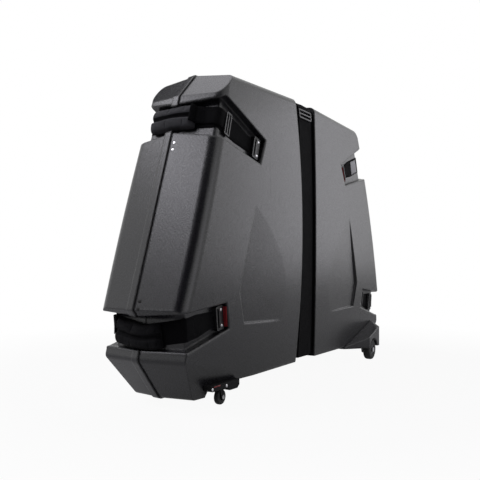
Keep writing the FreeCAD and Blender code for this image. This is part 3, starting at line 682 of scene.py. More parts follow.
class Finishes:
    """All finishes of the case, by the record's material slots and for the sewn pieces."""

    def __init__(self) -> None:
        """Builds the groups and every material."""
        groups = EffectGroups()
        plastics = (
            PlasticFinish("shell_plastic", grey(0.011, 0.0025), grey(0.016, 0.003), grey(0.10, 0.005),
                          roughness=0.27, grain_scale=700.0, wear=0.2, twill=0.35, soft_edge=0.007),
            PlasticFinish("black_plastic", grey(0.004, 0.001), grey(0.008, 0.001), grey(0.04),
                          roughness=0.55, specular=0.12),
            # Anchors and buckles: the high edge amount with a light worn colour paints their edge
            # highlights as a thin light outline
            PlasticFinish("anchor_plastic", grey(0.006, 0.001), grey(0.011, 0.001), grey(0.10),
                          roughness=0.45, wear=0.6, wear_and_highlight_radius=0.0012, grain_scale=1500.0),
            PlasticFinish("buckle_plastic", grey(0.012, 0.001), grey(0.020, 0.001), grey(0.30, 0.01),
                          roughness=0.38, wear=0.8, wear_and_highlight_radius=0.0012, grain_scale=1500.0),
            PlasticFinish("red_trim", (0.30, 0.010, 0.014), (0.42, 0.020, 0.026), (0.6, 0.2, 0.2),
                          roughness=0.4, grain_scale=1500.0),
            PlasticFinish("gasket_rubber", grey(0.010, 0.001), grey(0.018, 0.001), grey(0.05),
                          roughness=0.7, grain_scale=1600.0),
            PlasticFinish("rivet_metal", grey(0.62, 0.02), grey(0.74, 0.02), grey(0.85, 0.01),
                          roughness=0.30, metallic=1.0, grain_scale=2200.0, grain_depth=0.0001),
            PlasticFinish("dark_rivet", grey(0.002), grey(0.004), grey(0.02),
                          roughness=0.45, specular=0.2, grain_scale=2200.0, grain_depth=0.0001),
            PlasticFinish("axle_steel", grey(0.45, 0.01), grey(0.58, 0.02), grey(0.75, 0.01),
                          roughness=0.28, metallic=1.0, grain_scale=2200.0, grain_depth=0.0001,
                          streak=0.8),
            PlasticFinish("tyre_rubber", grey(0.007), grey(0.014), grey(0.06, -0.002),
                          roughness=0.72, grain_scale=900.0, wear=0.6),
            PlasticFinish("hub_plastic", grey(0.10, 0.005), grey(0.16, 0.005), grey(0.3),
                          roughness=0.45, grain_scale=1400.0),
            PlasticFinish("patch_vinyl", grey(0.34, 0.02), grey(0.46, 0.02), grey(0.6),
                          roughness=0.45, grain_scale=1400.0),
        )
        cloths = (
            ClothFinish("webbing", grey(0.0025, 0.0005), grey(0.008, 0.001), sheen=0.015,
                        specular=0.05),
            ClothFinish("sleeve_fabric", grey(0.014, 0.001), grey(0.085, 0.007), thread=0.0011,
                        fuzz=0.7),
            # Darker copy of the sleeve fabric for the lower sleeves: painted shade, the shade under the
            # end face's overhang
            ClothFinish("sleeve_black", grey(0.003, 0.001), grey(0.013, 0.001), thread=0.0011,
                        sheen=0.02, specular=0.08),
            ClothFinish("tab_webbing", (0.22, 0.012, 0.016), (0.48, 0.035, 0.04), thread=0.0014),
            ClothFinish("thread", grey(0.008, 0.001), grey(0.030, 0.002), thread=0.0006),
        )
        foams = (FoamFinish("foam", grey(0.020, 0.002), grey(0.055, 0.005)),)
        self.by_slot = {finish.name: finish.material(groups) for finish in plastics + cloths + foams}

    def dress(self, obj: bpy.types.Object, *slots: str) -> None:
        """Gives a piece its finishes, keeping which face wears which.

        Args:
            obj: the piece.
            *slots: names of the finishes, in the order of the faces' indices.
        """
        worn = [polygon.material_index for polygon in obj.data.polygons]
        obj.data.materials.clear()
        for slot in slots:
            obj.data.materials.append(self.by_slot[slot])
        last = len(slots) - 1
        obj.data.polygons.foreach_set("material_index", [min(index, last) for index in worn])

    def fit(self, obj: bpy.types.Object, slot: str, body: str = "", node: str = "",
            looks: tuple[str, ...] = ()) -> None:
        """Dresses a piece, hides the CAD node it replaces and hangs it on its body.

        Args:
            obj: the piece.
            slot: the record's material slot.
            body: the body it rides on, empty where it spans both halves and rides on none.
            node: the CAD node it replaces, if any.
            looks: its finishes, where they aren't the slot's own.
        """
        self.dress(obj, *(looks or (slot,)))
        if node:
            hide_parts(node)
        if body:
            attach(obj, body)
        log.info("piece %s on %s", obj.name, body or "both halves")

    def dress_frame(self) -> None:
        """Gives every CAD node the finish of its slot."""
        slots = {part["node"]: part["material_slot"] for part in frame["record"]["subparts"]}
        for node, obj in frame["nodes"].items():
            slot = slots.get(node, "shell_plastic")
            for index in range(max(len(obj.material_slots), 1)):
                if not obj.material_slots:
                    obj.data.materials.append(self.by_slot[slot])
                obj.material_slots[index].material = self.by_slot[slot]
            log.info("finish %s on %s", slot, node)
        rivets = frame["nodes"]["seam_rivets"].data
        rivets.materials.append(self.by_slot["dark_rivet"])
        for polygon in rivets.polygons:
            polygon.material_index = 1 if polygon.center.z < FORM.crown_height else 0


def mesh_object(name: str, verts: list[Vector], faces: list[tuple[int, ...]],
                uvs: list[tuple[float, float]] | None = None) -> bpy.types.Object:
    """Makes a smooth object in the scene from points and faces.

    Args:
        name: the piece's name.
        verts: points in the case's frame.
        faces: point indices of each face.
        uvs: run and width of each point, in metres.

    Returns:
        The object.
    """
    mesh = bpy.data.meshes.new(name)
    mesh.from_pydata([tuple(v) for v in verts], [], faces)
    if uvs:
        layer = mesh.uv_layers.new(name="UVMap")
        for loop in mesh.loops:
            layer.data[loop.index].uv = uvs[loop.vertex_index]
    work = bmesh.new()
    work.from_mesh(mesh)
    bmesh.ops.recalc_face_normals(work, faces=work.faces)
    work.to_mesh(mesh)
    work.free()
    mesh.shade_smooth()
    obj = bpy.data.objects.new(name, mesh)
    bpy.context.scene.collection.objects.link(obj)
    return obj


def ring_faces(rings: int, size: int) -> list[tuple[int, ...]]:
    """Faces between rings of points that follow one another.

    Args:
        rings: number of rings.
        size: points in each ring.

    Returns:
        The faces, ring by ring.
    """
    faces = []
    for near in range(0, (rings - 1) * size, size):
        for j in range(size):
            k = (j + 1) % size
            faces.append((near + j, near + k, near + size + k, near + size + j))
    return faces


BAND_OUTLINE = ((-0.5, 0.0), (-0.5, 0.55), (-0.485, 0.95), (-0.25, 1.0), (0.0, 1.0), (0.25, 1.0),
                (0.485, 0.95), (0.5, 0.55), (0.5, 0.0), (0.25, 0.0), (0.0, 0.0), (-0.25, 0.0))
BAND_CAP = ((0, 1, 7, 8), (1, 2, 6, 7), (2, 3, 5, 6), (3, 4, 5), (8, 9, 10, 11, 0))
UNDER_SIDE_OFFSET = 0.1


def band_mesh(name: str, stations: list[Station], widths: list[float], thickness: float,
              lift: list[float]) -> bpy.types.Object:
    """A woven band along stations, with soft edges and closed ends.

    Args:
        name: the piece's name.
        stations: places along the band.
        widths: width at each place.
        thickness: thickness of the band.
        lift: extra height at each place.

    Returns:
        The object.
    """
    verts, uvs = [], []
    size = len(BAND_OUTLINE)
    for place, width, up in zip(stations, widths, lift):
        for across, high in BAND_OUTLINE:
            verts.append(place.point + place.across * (across * width)
                         + place.out * (high * thickness + up))
            uvs.append((place.run, across * width + (UNDER_SIDE_OFFSET if high == 0.0 else 0.0)))
    faces = ring_faces(len(stations), size)
    for first in (0, (len(stations) - 1) * size):
        faces.extend(tuple(first + index for index in cap) for cap in BAND_CAP)
    return mesh_object(name, verts, faces, uvs)


STITCH_RINGS = ((0.0, 0.25), (0.25, 0.9), (0.5, 1.0), (0.75, 0.9), (1.0, 0.25))
STITCH_SIDES = 6
STITCH_LOOK_AHEAD = 0.0004


def stitch_row(name: str, places: list[tuple[Vector, Vector]], length: float = 0.0032,
               gap: float = 0.0014, thick: float = 0.0007) -> bpy.types.Object:
    """A row of thread stitches along a line that lies on a cloth.

    Args:
        name: the piece's name.
        places: points of the line, each with the way out of the cloth.
        length: length of a stitch.
        gap: gap between stitches.
        thick: thickness of the thread.

    Returns:
        The object.
    """
    runs = [0.0]
    for a, b in zip(places, places[1:]):
        runs.append(runs[-1] + (b[0] - a[0]).length)

    def at(run: float) -> tuple[Vector, Vector]:
        """Finds a place on the line.

        Args:
            run: distance along the line.

        Returns:
            The point and the way out of the cloth.
        """
        i = 0
        while i < len(runs) - 2 and run > runs[i + 1]:
            i += 1
        f = (run - runs[i]) / max(runs[i + 1] - runs[i], 1e-9)
        (point, out), (ahead, ahead_out) = places[i], places[i + 1]
        return point.lerp(ahead, f), out.lerp(ahead_out, f).normalized()

    verts, uvs, faces = [], [], []
    begin = 0.0
    while begin + length < runs[-1]:
        base = len(verts)
        for f, fat in STITCH_RINGS:
            point, out = at(begin + f * length)
            step = at(begin + f * length + STITCH_LOOK_AHEAD)[0] - point
            way = step.normalized() if step.length > 1e-7 else Vector((1, 0, 0))
            side = way.cross(out).normalized()
            for k in range(STITCH_SIDES):
                angle = 2.0 * k * math.pi / STITCH_SIDES
                ray = side * math.cos(angle) + out * (0.3 + math.sin(angle))
                verts.append(point + ray * (0.5 * thick * fat))
                uvs.append((begin + f * length, k * thick * 0.3))
        for face in ring_faces(len(STITCH_RINGS), STITCH_SIDES):
            faces.append(tuple(base + index for index in face))
        faces.append(tuple(range(base + STITCH_SIDES - 1, base - 1, -1)))
        faces.append(tuple(range(len(verts) - STITCH_SIDES, len(verts))))
        begin += length + gap
    return mesh_object(name, verts, faces, uvs)


def line_on(stations: list[Station], across: float, height: float, first: float = 0.0,
            last: float = math.inf) -> list[tuple[Vector, Vector]]:
    """Part of a line that runs along a band.

    Args:
        stations: places along the band.
        across: distance from the band's middle line.
        height: height above the stations.
        first: run at which the line begins.
        last: run at which it ends.

    Returns:
        Points with the way out at each.
    """
    return [(s.point + s.across * across + s.out * height, s.out)
            for s in stations if first <= s.run <= last]


def soften(obj: bpy.types.Object, width: float) -> None:
    """Rounds a piece's edges.

    Args:
        obj: the piece.
        width: width of the rounding.
    """
    bevel = obj.modifiers.new("soft edge", "BEVEL")
    bevel.width = width
    bevel.segments = 2


@dataclass
class EndStrap:
    """One end strap in its recess: webbing, padded sleeve, tail, tab and stitching."""

    finishes: Finishes
    end: End
    level: Level
    width: float = 0.056
    thickness: float = 0.0025
    strap_depth: float = 0.0217
    plate_end: float = 0.039
    narrow_share: float = 0.72
    narrow_run: float = 0.07
    ripple: float = 0.0004
    ripple_rate: float = 55.0
    sleeve_width: float = 0.064
    sleeve_thick: float = 0.0235
    sleeve_sink: float = 0.0008
    sleeve_line_begin: float = 0.03
    sleeve_ease: float = 0.028
    sleeve_close: float = 0.016
    sleeve_around: int = 40
    # Width of the dark webbing strip down the sleeve's middle groove: a binding, darker also as painted
    # shade in the groove
    binding_and_groove_shade: float = 0.13
    stitch_offset: float = 0.0015
    stitch_rise: float = 0.3528
    tail_width: float = 0.048
    tail_begin: float = 0.052
    tail_gap: float = 0.0010
    tail_drift: float = 0.006
    tail_drift_run: float = 0.06
    tail_foot: float = 0.36
    tail_climb: float = 0.030
    tab_growth: float = 0.0045
    tab_edge: float = 0.0006
    box_begin: float = 0.080
    box_runs: tuple[float, float] = (0.030, 0.052)
    box_half_width: float = 0.020
    thread_lift: float = 0.0004
    tail_lap: dict[Half, float] = field(
        default_factory=lambda: {Half.RIGHT: 0.010, Half.LEFT: -0.008})
    sleeve_shift: dict[Level, float] = field(
        default_factory=lambda: {Level.UPPER: 0.0, Level.LOWER: -0.003})
    sleeve_reach: dict[Half, float] = field(
        default_factory=lambda: {Half.RIGHT: 0.048, Half.LEFT: 0.092})

    def __post_init__(self) -> None:
        """Works out the strap's name and line."""
        self.name = f"{self.end.name.lower()}_{self.level.value}"
        self.route = route(self.end, self.level)

    def build_webbing(self) -> None:
        """Builds the webbing from anchor to anchor."""
        places = self.route.whole(self.strap_depth, begin=self.plate_end)
        total = places[-1].run
        spare = 1.0 - self.narrow_share
        widths = [self.width * (self.narrow_share
                                + spare * min(1.0, min(s.run, total - s.run) / self.narrow_run))
                  for s in places]
        phase = random.Random(self.name).uniform(0.0, 6.0)
        lift = [self.ripple * math.sin(s.run * self.ripple_rate + phase) for s in places]
        strap = band_mesh(f"{self.name}_webbing", places, widths, self.thickness, lift)
        self.finishes.fit(strap, "webbing", node=f"{self.name}_strap")
        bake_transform(strap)

    def sleeve_form(self, places: list[Station]) -> bpy.types.Object:
        """Makes the sleeve's stuffed form: two lobes beside a sewn middle.

        Args:
            places: places along the sleeve, on the webbing's outer face.

        Returns:
            The sleeve's object, with the group of points that the seams hold.
        """
        around = self.sleeve_around
        first, last = places[0].run, places[-1].run
        verts, uvs, held = [], [], []
        for place in places:
            from_end = min(place.run - first, last - place.run)
            x = min(from_end / self.sleeve_close, 1.0)
            full = 0.30 + 0.70 * math.sqrt(max(0.0, 1.0 - (1.0 - x) ** 2))
            wide = self.sleeve_width * (0.94 + 0.06 * x)
            middle = place.point + place.across * self.sleeve_shift[self.level]
            for j in range(around):
                angle = 2.0 * math.pi * j / around
                across = 0.5 * math.copysign(abs(math.cos(angle)) ** 0.75, math.cos(angle))
                top = max(0.0, math.sin(angle)) ** 0.6
                lobe = 1.0 - 0.62 * math.exp(-(across / 0.055) ** 2)
                high = 0.0
                if angle < math.pi:
                    high = self.sleeve_thick * full * (0.16 + 0.84 * top * lobe)
                verts.append(middle + place.across * (across * wide) + place.out * high)
                uvs.append((place.run, j * 0.0032))
                seam = abs(across) < 0.03 or angle >= math.pi or x < 0.15
                held.append(1.0 if seam else 0.0)
        faces = ring_faces(len(places), around)
        faces.append(tuple(range(around)))
        faces.append(tuple(range((len(places) - 1) * around, len(places) * around)))
        sleeve = mesh_object(f"{self.name}_sleeve", verts, faces, uvs)
        # The strip along the top middle wears the dark webbing: binding over the sewn groove, and
        # painted shade of the groove
        for index, polygon in enumerate(sleeve.data.polygons):
            angle = 2.0 * math.pi * (index % around + 0.5) / around
            bound_and_shaded = abs(math.cos(angle)) < self.binding_and_groove_shade and angle < math.pi
            polygon.material_index = 1 if bound_and_shaded else 0
        group = sleeve.vertex_groups.new(name="seams")
        for index, weight in enumerate(held):
            group.add([index], weight, "REPLACE")
        return sleeve

    def build_sleeve(self) -> None:
        """Builds the padded handle sleeve, with a row of stitches on each side of its middle."""
        depth = self.strap_depth - self.thickness - self.sleeve_sink
        places = self.route.whole(depth, begin=self.sleeve_line_begin, count=90)
        reach = self.sleeve_reach
        inside = eased([s for s in places
                        if -reach[Half.RIGHT] <= s.point.y <= reach[Half.LEFT]], self.sleeve_ease)
        sleeve = self.sleeve_form(inside)
        swell(sleeve, pressure=3.0, cap=0.004)
        # Lower sleeves wear the darker copy of the sleeve fabric, painted shade under the overhanging
        # end face
        cover = "sleeve_fabric" if self.level is Level.UPPER else "sleeve_black"
        self.finishes.fit(sleeve, "sleeve_fabric", Half.LEFT.body, f"{self.name}_handle",
                          (cover, "webbing"))
        shift = self.sleeve_shift[self.level]
        for label, offset in (("upper", self.stitch_offset), ("lower", -self.stitch_offset)):
            line = line_on(inside[4:-4], offset + shift, self.sleeve_thick * self.stitch_rise)
            row = stitch_row(f"{self.name}_sleeve_stitches_{label}", line)
            self.finishes.fit(row, "sleeve_fabric", Half.LEFT.body, looks=("thread",))

    def build_tab(self) -> None:
        """Builds the red release tab, a little taller than its solid."""
        node = f"{self.name}_release_tab"
        half = Half.of_node(node)
        tab = soft_copy(node, f"{self.name}_pull_tab")
        low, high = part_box(node)
        for vertex in tab.data.vertices:
            part = (vertex.co.y - low[1]) / (high[1] - low[1])
            outer = part if half is Half.LEFT else 1.0 - part
            vertex.co.y += half.value * self.tab_growth * outer
        soften(tab, self.tab_edge)
        self.finishes.fit(tab, "tab_webbing", half.body, node)

    def adjuster_half(self) -> Half:
        """The half that holds this strap's slide buckle."""
        return Half.of_node(f"{self.name}_buckle")

    def tail_rise(self, y: float, reach: float) -> float:
        """Height of the tail over the webbing where it climbs the sleeve's sewn end.

        Args:
            y: distance from the seam.
            reach: distance of the sleeve's end from the seam.

        Returns:
            The height.
        """
        inside = min(max((reach - y) / self.sleeve_close, 0.0), 1.0)
        if inside > 0.0:
            climb = 0.74 * math.sqrt(1.0 - (1.0 - inside) ** 2)
            return self.sleeve_thick * (self.tail_foot + climb)
        near = min(max(1.0 - (y - reach) / self.tail_climb, 0.0), 1.0)
        return self.sleeve_thick * self.tail_foot * near * near * (3.0 - 2.0 * near)

    def build_tail(self) -> None:
        """Builds the loose end of the webbing, from the slide buckle round to the sleeve."""
        half = self.adjuster_half()
        turn = self.route.corner_run(self.strap_depth)
        base = self.strap_depth - self.thickness
        reach = self.sleeve_reach[half]
        places = [s for s in self.route.stations(base, turn - self.tail_begin, 60, half)
                  if abs(s.point.y) > reach - self.tail_lap[half]]
        first, last = places[0].run, places[-1].run
        lift = [self.tail_gap + self.tail_rise(abs(s.point.y), reach) for s in places]
        shift = [self.tail_drift * min((s.run - first) / self.tail_drift_run, 1.0) for s in places]
        moved = [replace(s, point=s.point + s.across * d) for s, d in zip(places, shift)]
        widths = [self.tail_width] * len(moved)
        tail = band_mesh(f"{self.name}_tail", moved, widths, self.thickness * 0.9, lift)
        self.finishes.fit(tail, "webbing", half.body)

    def build_box_stitch(self) -> None:
        """Sews a box of stitches on the webbing's release end."""
        release = Half.LEFT if self.adjuster_half() is Half.RIGHT else Half.RIGHT
        turn = self.route.corner_run(self.strap_depth)
        places = self.route.stations(self.strap_depth, turn - self.box_begin, 40, release)
        top = self.thickness + self.thread_lift
        wide = self.box_half_width
        rows = [line_on(places, across, top, *self.box_runs) for across in (-wide, wide)]
        for run in self.box_runs:
            spot = min(places, key=lambda s, r=run: abs(s.run - r))
            rows.append([(spot.point + spot.across * (wide * f) + spot.out * top, spot.out)
                         for f in (-1.0, -0.5, 0.0, 0.5, 1.0)])
        for index, line in enumerate(rows):
            row = stitch_row(f"{self.name}_box_stitch_{index}", line)
            self.finishes.fit(row, "webbing", release.body, looks=("thread",))

    def build(self) -> None:
        """Builds every piece of the strap."""
        self.build_webbing()
        self.build_sleeve()
        self.build_tab()
        self.build_tail()
        self.build_box_stitch()


COVER_CLOTH = {
    "use_pressure": True,
    "vertex_group_mass": "seams",
    "tension_stiffness": 12.0,
    "compression_stiffness": 12.0,
    "bending_stiffness": 0.3,
    "shrink_min": -0.04,
}


def swell(obj: bpy.types.Object, pressure: float, cap: float, frames: int = 14) -> None:
    """Swells a stuffed piece by cloth simulation with its seams held, and applies the result.

    Args:
        obj: the piece, with a group of held points named seams.
        pressure: pressure inside the cover.
        cap: the most that a point may move, in metres.
        frames: steps of the simulation.
    """
    before = [v.co.copy() for v in obj.data.vertices]
    cloth = obj.modifiers.new("cover", "CLOTH")
    for key, value in COVER_CLOTH.items():
        setattr(cloth.settings, key, value)
    cloth.settings.uniform_pressure_force = pressure
    cloth.settings.effector_weights.gravity = 0.0
    scene = bpy.context.scene
    for step in range(1, frames + 1):
        scene.frame_set(step)
    graph = bpy.context.evaluated_depsgraph_get()
    after = [v.co.copy() for v in obj.evaluated_get(graph).data.vertices]
    obj.modifiers.remove(cloth)
    scene.frame_set(1)
    for vertex, old, new in zip(obj.data.vertices, before, after):
        move = new - old
        if move.length > cap:
            move = move.normalized() * cap
        vertex.co = old + move
    obj.data.update()
    smooth = obj.modifiers.new("cover curve", "SUBSURF")
    smooth.levels = 1
    smooth.render_levels = 1


WELD = 0.00002
FLAT_ANGLE = 0.02
SHARP_ANGLE = math.radians(40.0)


def soft_copy(node: str, name: str) -> bpy.types.Object:
    """Copies a soft CAD node's form into a new piece whose cloth runs along its faces.

    Args:
        node: the CAD node.
        name: the new piece's name.

    Returns:
        The new object, welded and with run and width on its faces.
    """
    mesh = frame["nodes"][node].data.copy()
    mesh.name = name
    work = bmesh.new()
    work.from_mesh(mesh)
    bmesh.ops.remove_doubles(work, verts=work.verts, dist=WELD)
    bmesh.ops.dissolve_limit(work, angle_limit=FLAT_ANGLE, verts=work.verts, edges=work.edges)
    layer = work.loops.layers.uv.verify()
    for face in work.faces:
        n = face.normal
        for loop in face.loops:
            co = loop.vert.co
            if abs(n.z) > 0.7:
                loop[layer].uv = (co.y, co.x)
            elif abs(n.y) >= abs(n.x):
                loop[layer].uv = (co.z, co.x)
            else:
                loop[layer].uv = (co.z, co.y)
    work.to_mesh(mesh)
    work.free()
    mesh.shade_smooth()
    mesh.set_sharp_from_angle(angle=SHARP_ANGLE)
    obj = bpy.data.objects.new(name, mesh)
    bpy.context.scene.collection.objects.link(obj)
    return obj


PLATE_RINGS = ((0.0, 0.0), (0.0, 0.6), (0.25, 0.9), (0.8, 1.0))


def plaque(name: str, middle: Vector, along: Vector, across: Vector,
           size: tuple[float, float, float], corner_round: float) -> bpy.types.Object:
    """A thin plate with round corners and soft edges.

    Args:
        name: the piece's name.
        middle: middle of the plate's under face.
        along: unit direction of its length.
        across: unit direction of its width.
        size: length, width and thickness.
        corner_round: radius of its corners.

    Returns:
        The object.
    """
    length, width, thick = size
    out = along.cross(across).normalized()
    ring = []
    for sx, sy, start in ((1, 1, 0.0), (-1, 1, 90.0), (-1, -1, 180.0), (1, -1, 270.0)):
        for step in range(5):
            angle = math.radians(start + 22.5 * step)
            ring.append((sx * (0.5 * length - corner_round) + corner_round * math.cos(angle),
                         sy * (0.5 * width - corner_round) + corner_round * math.sin(angle)))
    verts, uvs = [], []
    for inset, high in PLATE_RINGS:
        for x, y in ring:
            shrink = 1.0 - inset * thick / max(abs(x), abs(y))
            verts.append(middle + along * (x * shrink) + across * (y * shrink) + out * (high * thick))
            uvs.append((x, y))
    faces = ring_faces(len(PLATE_RINGS), len(ring))
    faces.append(tuple(range(len(ring))))
    faces.append(tuple(range(len(verts) - len(ring), len(verts))))
    return mesh_object(name, verts, faces, uvs)


@dataclass(frozen=True)
class SmallTrim:
    """Small bare plates and coloured strips on the case."""

    finishes: Finishes
    strip_size: tuple[float, float, float] = (0.030, 0.0028, 0.0006)
    strip_round: float = 0.0012
    strip_reach: float = -0.508
    strip_height: float = 0.0525
    housing_face: float = 0.1275
    patch_size: tuple[float, float, float] = (0.052, 0.046, 0.0012)
    patch_round: float = 0.002
    patch_run: float = 0.148
    patch_step: float = 0.004
    patch_depth: float = 0.0192
    patch_lift: float = 0.0009

    def build_strips(self) -> None:
        """Sets the coloured strip on the outer face of each caster housing."""
        for half in Half:
            place = Vector((self.strip_reach, half.value * self.housing_face, self.strip_height))
            across = Vector((0.0, 0.0, -float(half.value)))
            strip = plaque(f"caster_strip_{half.name.lower()}", place, Vector((1.0, 0.0, 0.0)),
                           across, self.strip_size, self.strip_round)
            self.finishes.fit(strip, "tab_webbing", half.body, looks=("red_trim",))

    def build_patches(self) -> None:
        """Sets a bare patch on the webbing at each upper release end."""
        for end, half in ((End.REAR, Half.RIGHT), (End.FRONT, Half.LEFT)):
            line = route(end, Level.UPPER)
            spot, ahead = (line.stations(self.patch_depth, run, 40, half)[0]
                           for run in (self.patch_run, self.patch_run + self.patch_step))
            along = (ahead.point - spot.point).normalized()
            outward = along.cross(spot.across).dot(spot.out) > 0.0
            patch = plaque(f"{end.name.lower()}_upper_patch", spot.point + spot.out * self.patch_lift,
                           along, spot.across if outward else -spot.across, self.patch_size,
                           self.patch_round)
            self.finishes.fit(patch, "webbing", half.body, looks=("patch_vinyl",))

    def build(self) -> None:
        """Builds every small plate."""
        self.build_strips()
        self.build_patches()


@dataclass(frozen=True)
class GirthBand:
    """The strap round the middle of the case."""

    finishes: Finishes
    width: float = 0.076
    round_run: float = 2.23
    edge: float = 0.0008
    blend_height: float = 0.45

    def build(self) -> None:
        """Builds the band from its solid's form, with soft edges."""
        band = soft_copy("girth_strap", "girth_webbing")
        soften(band, self.edge)
        self.finishes.fit(band, "webbing", node="girth_strap")
        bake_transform(band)


@dataclass(frozen=True)
class FoamPad:
    """Foam lining against one side, with a waved face."""

    finishes: Finishes
    half: Half
    wave: float = 0.034
    depth: float = 0.0022
    cell: float = 0.007

    def build(self) -> None:
        """Builds the pad from its solid's form, remeshed so that its face can wave."""
        side = self.half.name.lower()
        node = f"foam_lining_{side}"
        pad = soft_copy(node, f"foam_pad_{side}")
        remesh = pad.modifiers.new("cells", "REMESH")
        remesh.mode = "VOXEL"
        remesh.voxel_size = self.cell
        graph = bpy.context.evaluated_depsgraph_get()
        mesh = bpy.data.meshes.new_from_object(pad.evaluated_get(graph))
        pad.modifiers.remove(remesh)
        pad.data = mesh
        rate = 2 * math.pi / self.wave
        for vertex in mesh.vertices:
            inward = -self.half.value * vertex.normal.y
            if inward > 0.5:
                dip = 0.5 + 0.25 * (math.cos(rate * vertex.co.x) + math.cos(rate * vertex.co.z))
                vertex.co.y += self.half.value * self.depth * dip
        mesh.shade_smooth()
        self.finishes.fit(pad, "foam", self.half.body, node)


@dataclass(frozen=True)
class Panel:
    """A rectangle that faces the case: a light panel, or a dark flag where it has no power."""

    name: str
    centre: tuple[float, float, float]
    aim: tuple[float, float, float]
    size: tuple[float, float]
    power: float = 0.0

    def way(self) -> Vector:
        """The way from its centre to what it faces."""
        return Vector(self.aim) - Vector(self.centre)


WHITE = (1.0, 1.0, 1.0, 1.0)


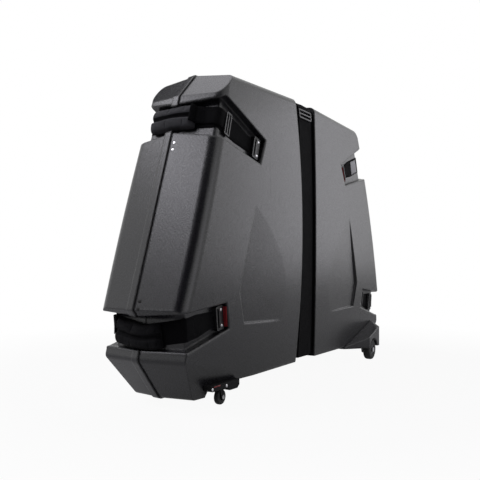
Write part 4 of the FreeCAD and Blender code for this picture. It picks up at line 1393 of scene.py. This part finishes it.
@dataclass(frozen=True)
class Studio:
    """Camera, floor and light."""

    eye: tuple[float, float, float] = (-1.82275, -1.01136, 0.3648)
    turn: float = -58.128
    lens: float = 47.96
    shift: float = 0.0421
    ambient: float = 0.02
    floor_glow: float = 0.30
    floor_reach: float = 9.0
    floor_grey: float = 0.82
    # Floor glow from near the case to far off: less glow near the case paints a grey pool round it
    fade_reach: tuple[float, float] = (0.8, 1.7)
    fade_white: tuple[float, float] = (0.94, 1.0)
    tint: tuple[float, float, float] = (0.935, 0.92, 1.0)
    panels: tuple[Panel, ...] = (
        Panel("left_panel", (-2.05, 1.45, 2.50), (-0.55, 0.0, 0.5), (2.5, 0.84), 38.0),
        Panel("right_panel", (1.70, -1.04, 0.88), (0.1, -0.12, 0.62), (0.75, 1.3), 4.4),
        Panel("top_panel", (-0.1, 0.5, 2.6), (0.0, 0.0, 0.6), (2.2, 1.4), 11.0),
        Panel("front_panel", (-0.25, -2.75, 1.0), (-0.3, -0.1, 0.5), (1.3, 1.8), 6.5),
    )
    flags: tuple[Panel, ...] = (
        Panel("studio_flag_near", (-2.95, -1.15, 1.6), (-0.55, -0.10, 0.6), (4.2, 4.0)),
        Panel("studio_flag_back", (1.5, 2.3, 2.9), (-0.4, 0.0, 0.85), (2.8, 1.9)),
    )

    def build_camera(self) -> None:
        """Sets the camera at the photograph's place."""
        lens = bpy.data.cameras.new("camera")
        lens.lens = self.lens
        lens.sensor_width = 36.0
        lens.shift_y = self.shift
        camera = bpy.data.objects.new("camera", lens)
        camera.location = self.eye
        camera.rotation_euler = (math.radians(90.0), 0.0, math.radians(self.turn))
        bpy.context.scene.collection.objects.link(camera)
        bpy.context.scene.camera = camera

    def build_panels(self) -> None:
        """Hangs the light panels."""
        for panel in self.panels:
            light = bpy.data.lights.new(panel.name, "AREA")
            light.shape = "RECTANGLE"
            light.size, light.size_y = panel.size
            light.energy = panel.power
            light.color = self.tint
            lamp = bpy.data.objects.new(panel.name, light)
            lamp.location = panel.centre
            lamp.rotation_euler = panel.way().to_track_quat("-Z", "Y").to_euler()
            bpy.context.scene.collection.objects.link(lamp)

    def build_world(self) -> None:
        """A white backdrop for the camera over a low even light."""
        world = bpy.data.worlds.new("studio")
        world.use_nodes = True
        bpy.context.scene.world = world
        tree = NodeTree(world.node_tree)
        world.node_tree.nodes.clear()
        path = tree.add("LightPath").outputs
        low = tree.add("Background", Color=WHITE, Strength=self.ambient)
        white = tree.add("Background", Color=WHITE, Strength=1.0)
        mix = tree.add("MixShader")
        seen = tree.math("MAXIMUM", path["Is Camera Ray"], path["Is Transmission Ray"])
        tree.link(tree.math("MAXIMUM", seen, path["Is Glossy Ray"]), mix.inputs[0])
        tree.link(low.outputs[0], mix.inputs[1])
        tree.link(white.outputs[0], mix.inputs[2])
        out = tree.add("OutputWorld")
        tree.link(mix.outputs[0], out.inputs["Surface"])

    def build_flags(self) -> None:
        """Stands dark flags where they darken what the corner of the case reflects."""
        mat, _, shader = new_material("studio_flag")
        shader.inputs["Base Color"].default_value = (0.002, 0.002, 0.002, 1.0)
        shader.inputs["Roughness"].default_value = 1.0
        shader.inputs["Specular IOR Level"].default_value = 0.0
        for flag in self.flags:
            aim = flag.way().normalized()
            side = aim.cross(Vector((0.0, 0.0, 1.0))).normalized() * (0.5 * flag.size[0])
            rise = side.cross(aim).normalized() * (0.5 * flag.size[1])
            centre = Vector(flag.centre)
            corners = [centre - side - rise, centre + side - rise, centre + side + rise,
                       centre - side + rise]
            card = mesh_object(flag.name, corners, [(0, 1, 2, 3)])
            card.data.materials.append(mat)
            card.visible_camera = False

    def build_floor(self) -> None:
        """Lays the pale floor, which keeps the shadow of the case."""
        corners = [Vector((x, y, 0.0)) * self.floor_reach
                   for x, y in ((-1, -1), (1, -1), (1, 1), (-1, 1))]
        floor = mesh_object("studio_floor", corners, [(0, 1, 2, 3)])
        mat, tree, shader = new_material("studio_floor")
        shader.inputs["Roughness"].default_value = 0.9
        shader.inputs["Specular IOR Level"].default_value = 0.0
        shader.inputs["Base Color"].default_value = (*[self.floor_grey] * 3, 1.0)
        path = tree.add("LightPath").outputs
        glow = tree.add("Emission", Color=WHITE, Strength=1.0)
        mix = tree.add("MixShader")
        far = tree.add("VectorMath", operation="LENGTH")
        tree.link(tree.add("TexCoord").outputs["Object"], far.inputs[0])
        # The floor glows less near the case, a painted grey pool round it that lets the real shadow in
        # the diffuse share show; far off it is plain white
        (near_edge, far_edge), (near_white, far_white) = self.fade_reach, self.fade_white
        fade = tree.add("MapRange", Value=far.outputs["Value"], From_Min=near_edge, From_Max=far_edge,
                        To_Min=near_white, To_Max=far_white)
        seen = tree.math("MAXIMUM", path["Is Camera Ray"], path["Is Transmission Ray"])
        glossy = tree.math("MULTIPLY", path["Is Glossy Ray"], self.floor_glow)
        direct = tree.math("MULTIPLY", seen, fade.outputs["Result"])
        tree.link(tree.math("MAXIMUM", direct, glossy), mix.inputs[0])
        tree.link(shader.outputs[0], mix.inputs[1])
        tree.link(glow.outputs[0], mix.inputs[2])
        tree.link(mix.outputs[0], mat.node_tree.nodes["Material Output"].inputs["Surface"])
        floor.data.materials.append(mat)

    def build(self) -> None:
        """Builds the studio."""
        bpy.context.scene.view_settings.view_transform = "Standard"
        self.build_camera()
        self.build_panels()
        self.build_world()
        self.build_flags()
        self.build_floor()


def main() -> None:
    """Builds the studio, the finishes and every dressed piece."""
    logging.basicConfig(level=logging.INFO, format="%(name)s: %(message)s")
    Studio().build()
    finishes = Finishes()
    finishes.dress_frame()
    for end in End:
        for level in Level:
            EndStrap(finishes, end, level).build()
    SmallTrim(finishes).build()
    GirthBand(finishes).build()
    for half in Half:
        FoamPad(finishes, half).build()


if __name__ == "__main__":
    main()
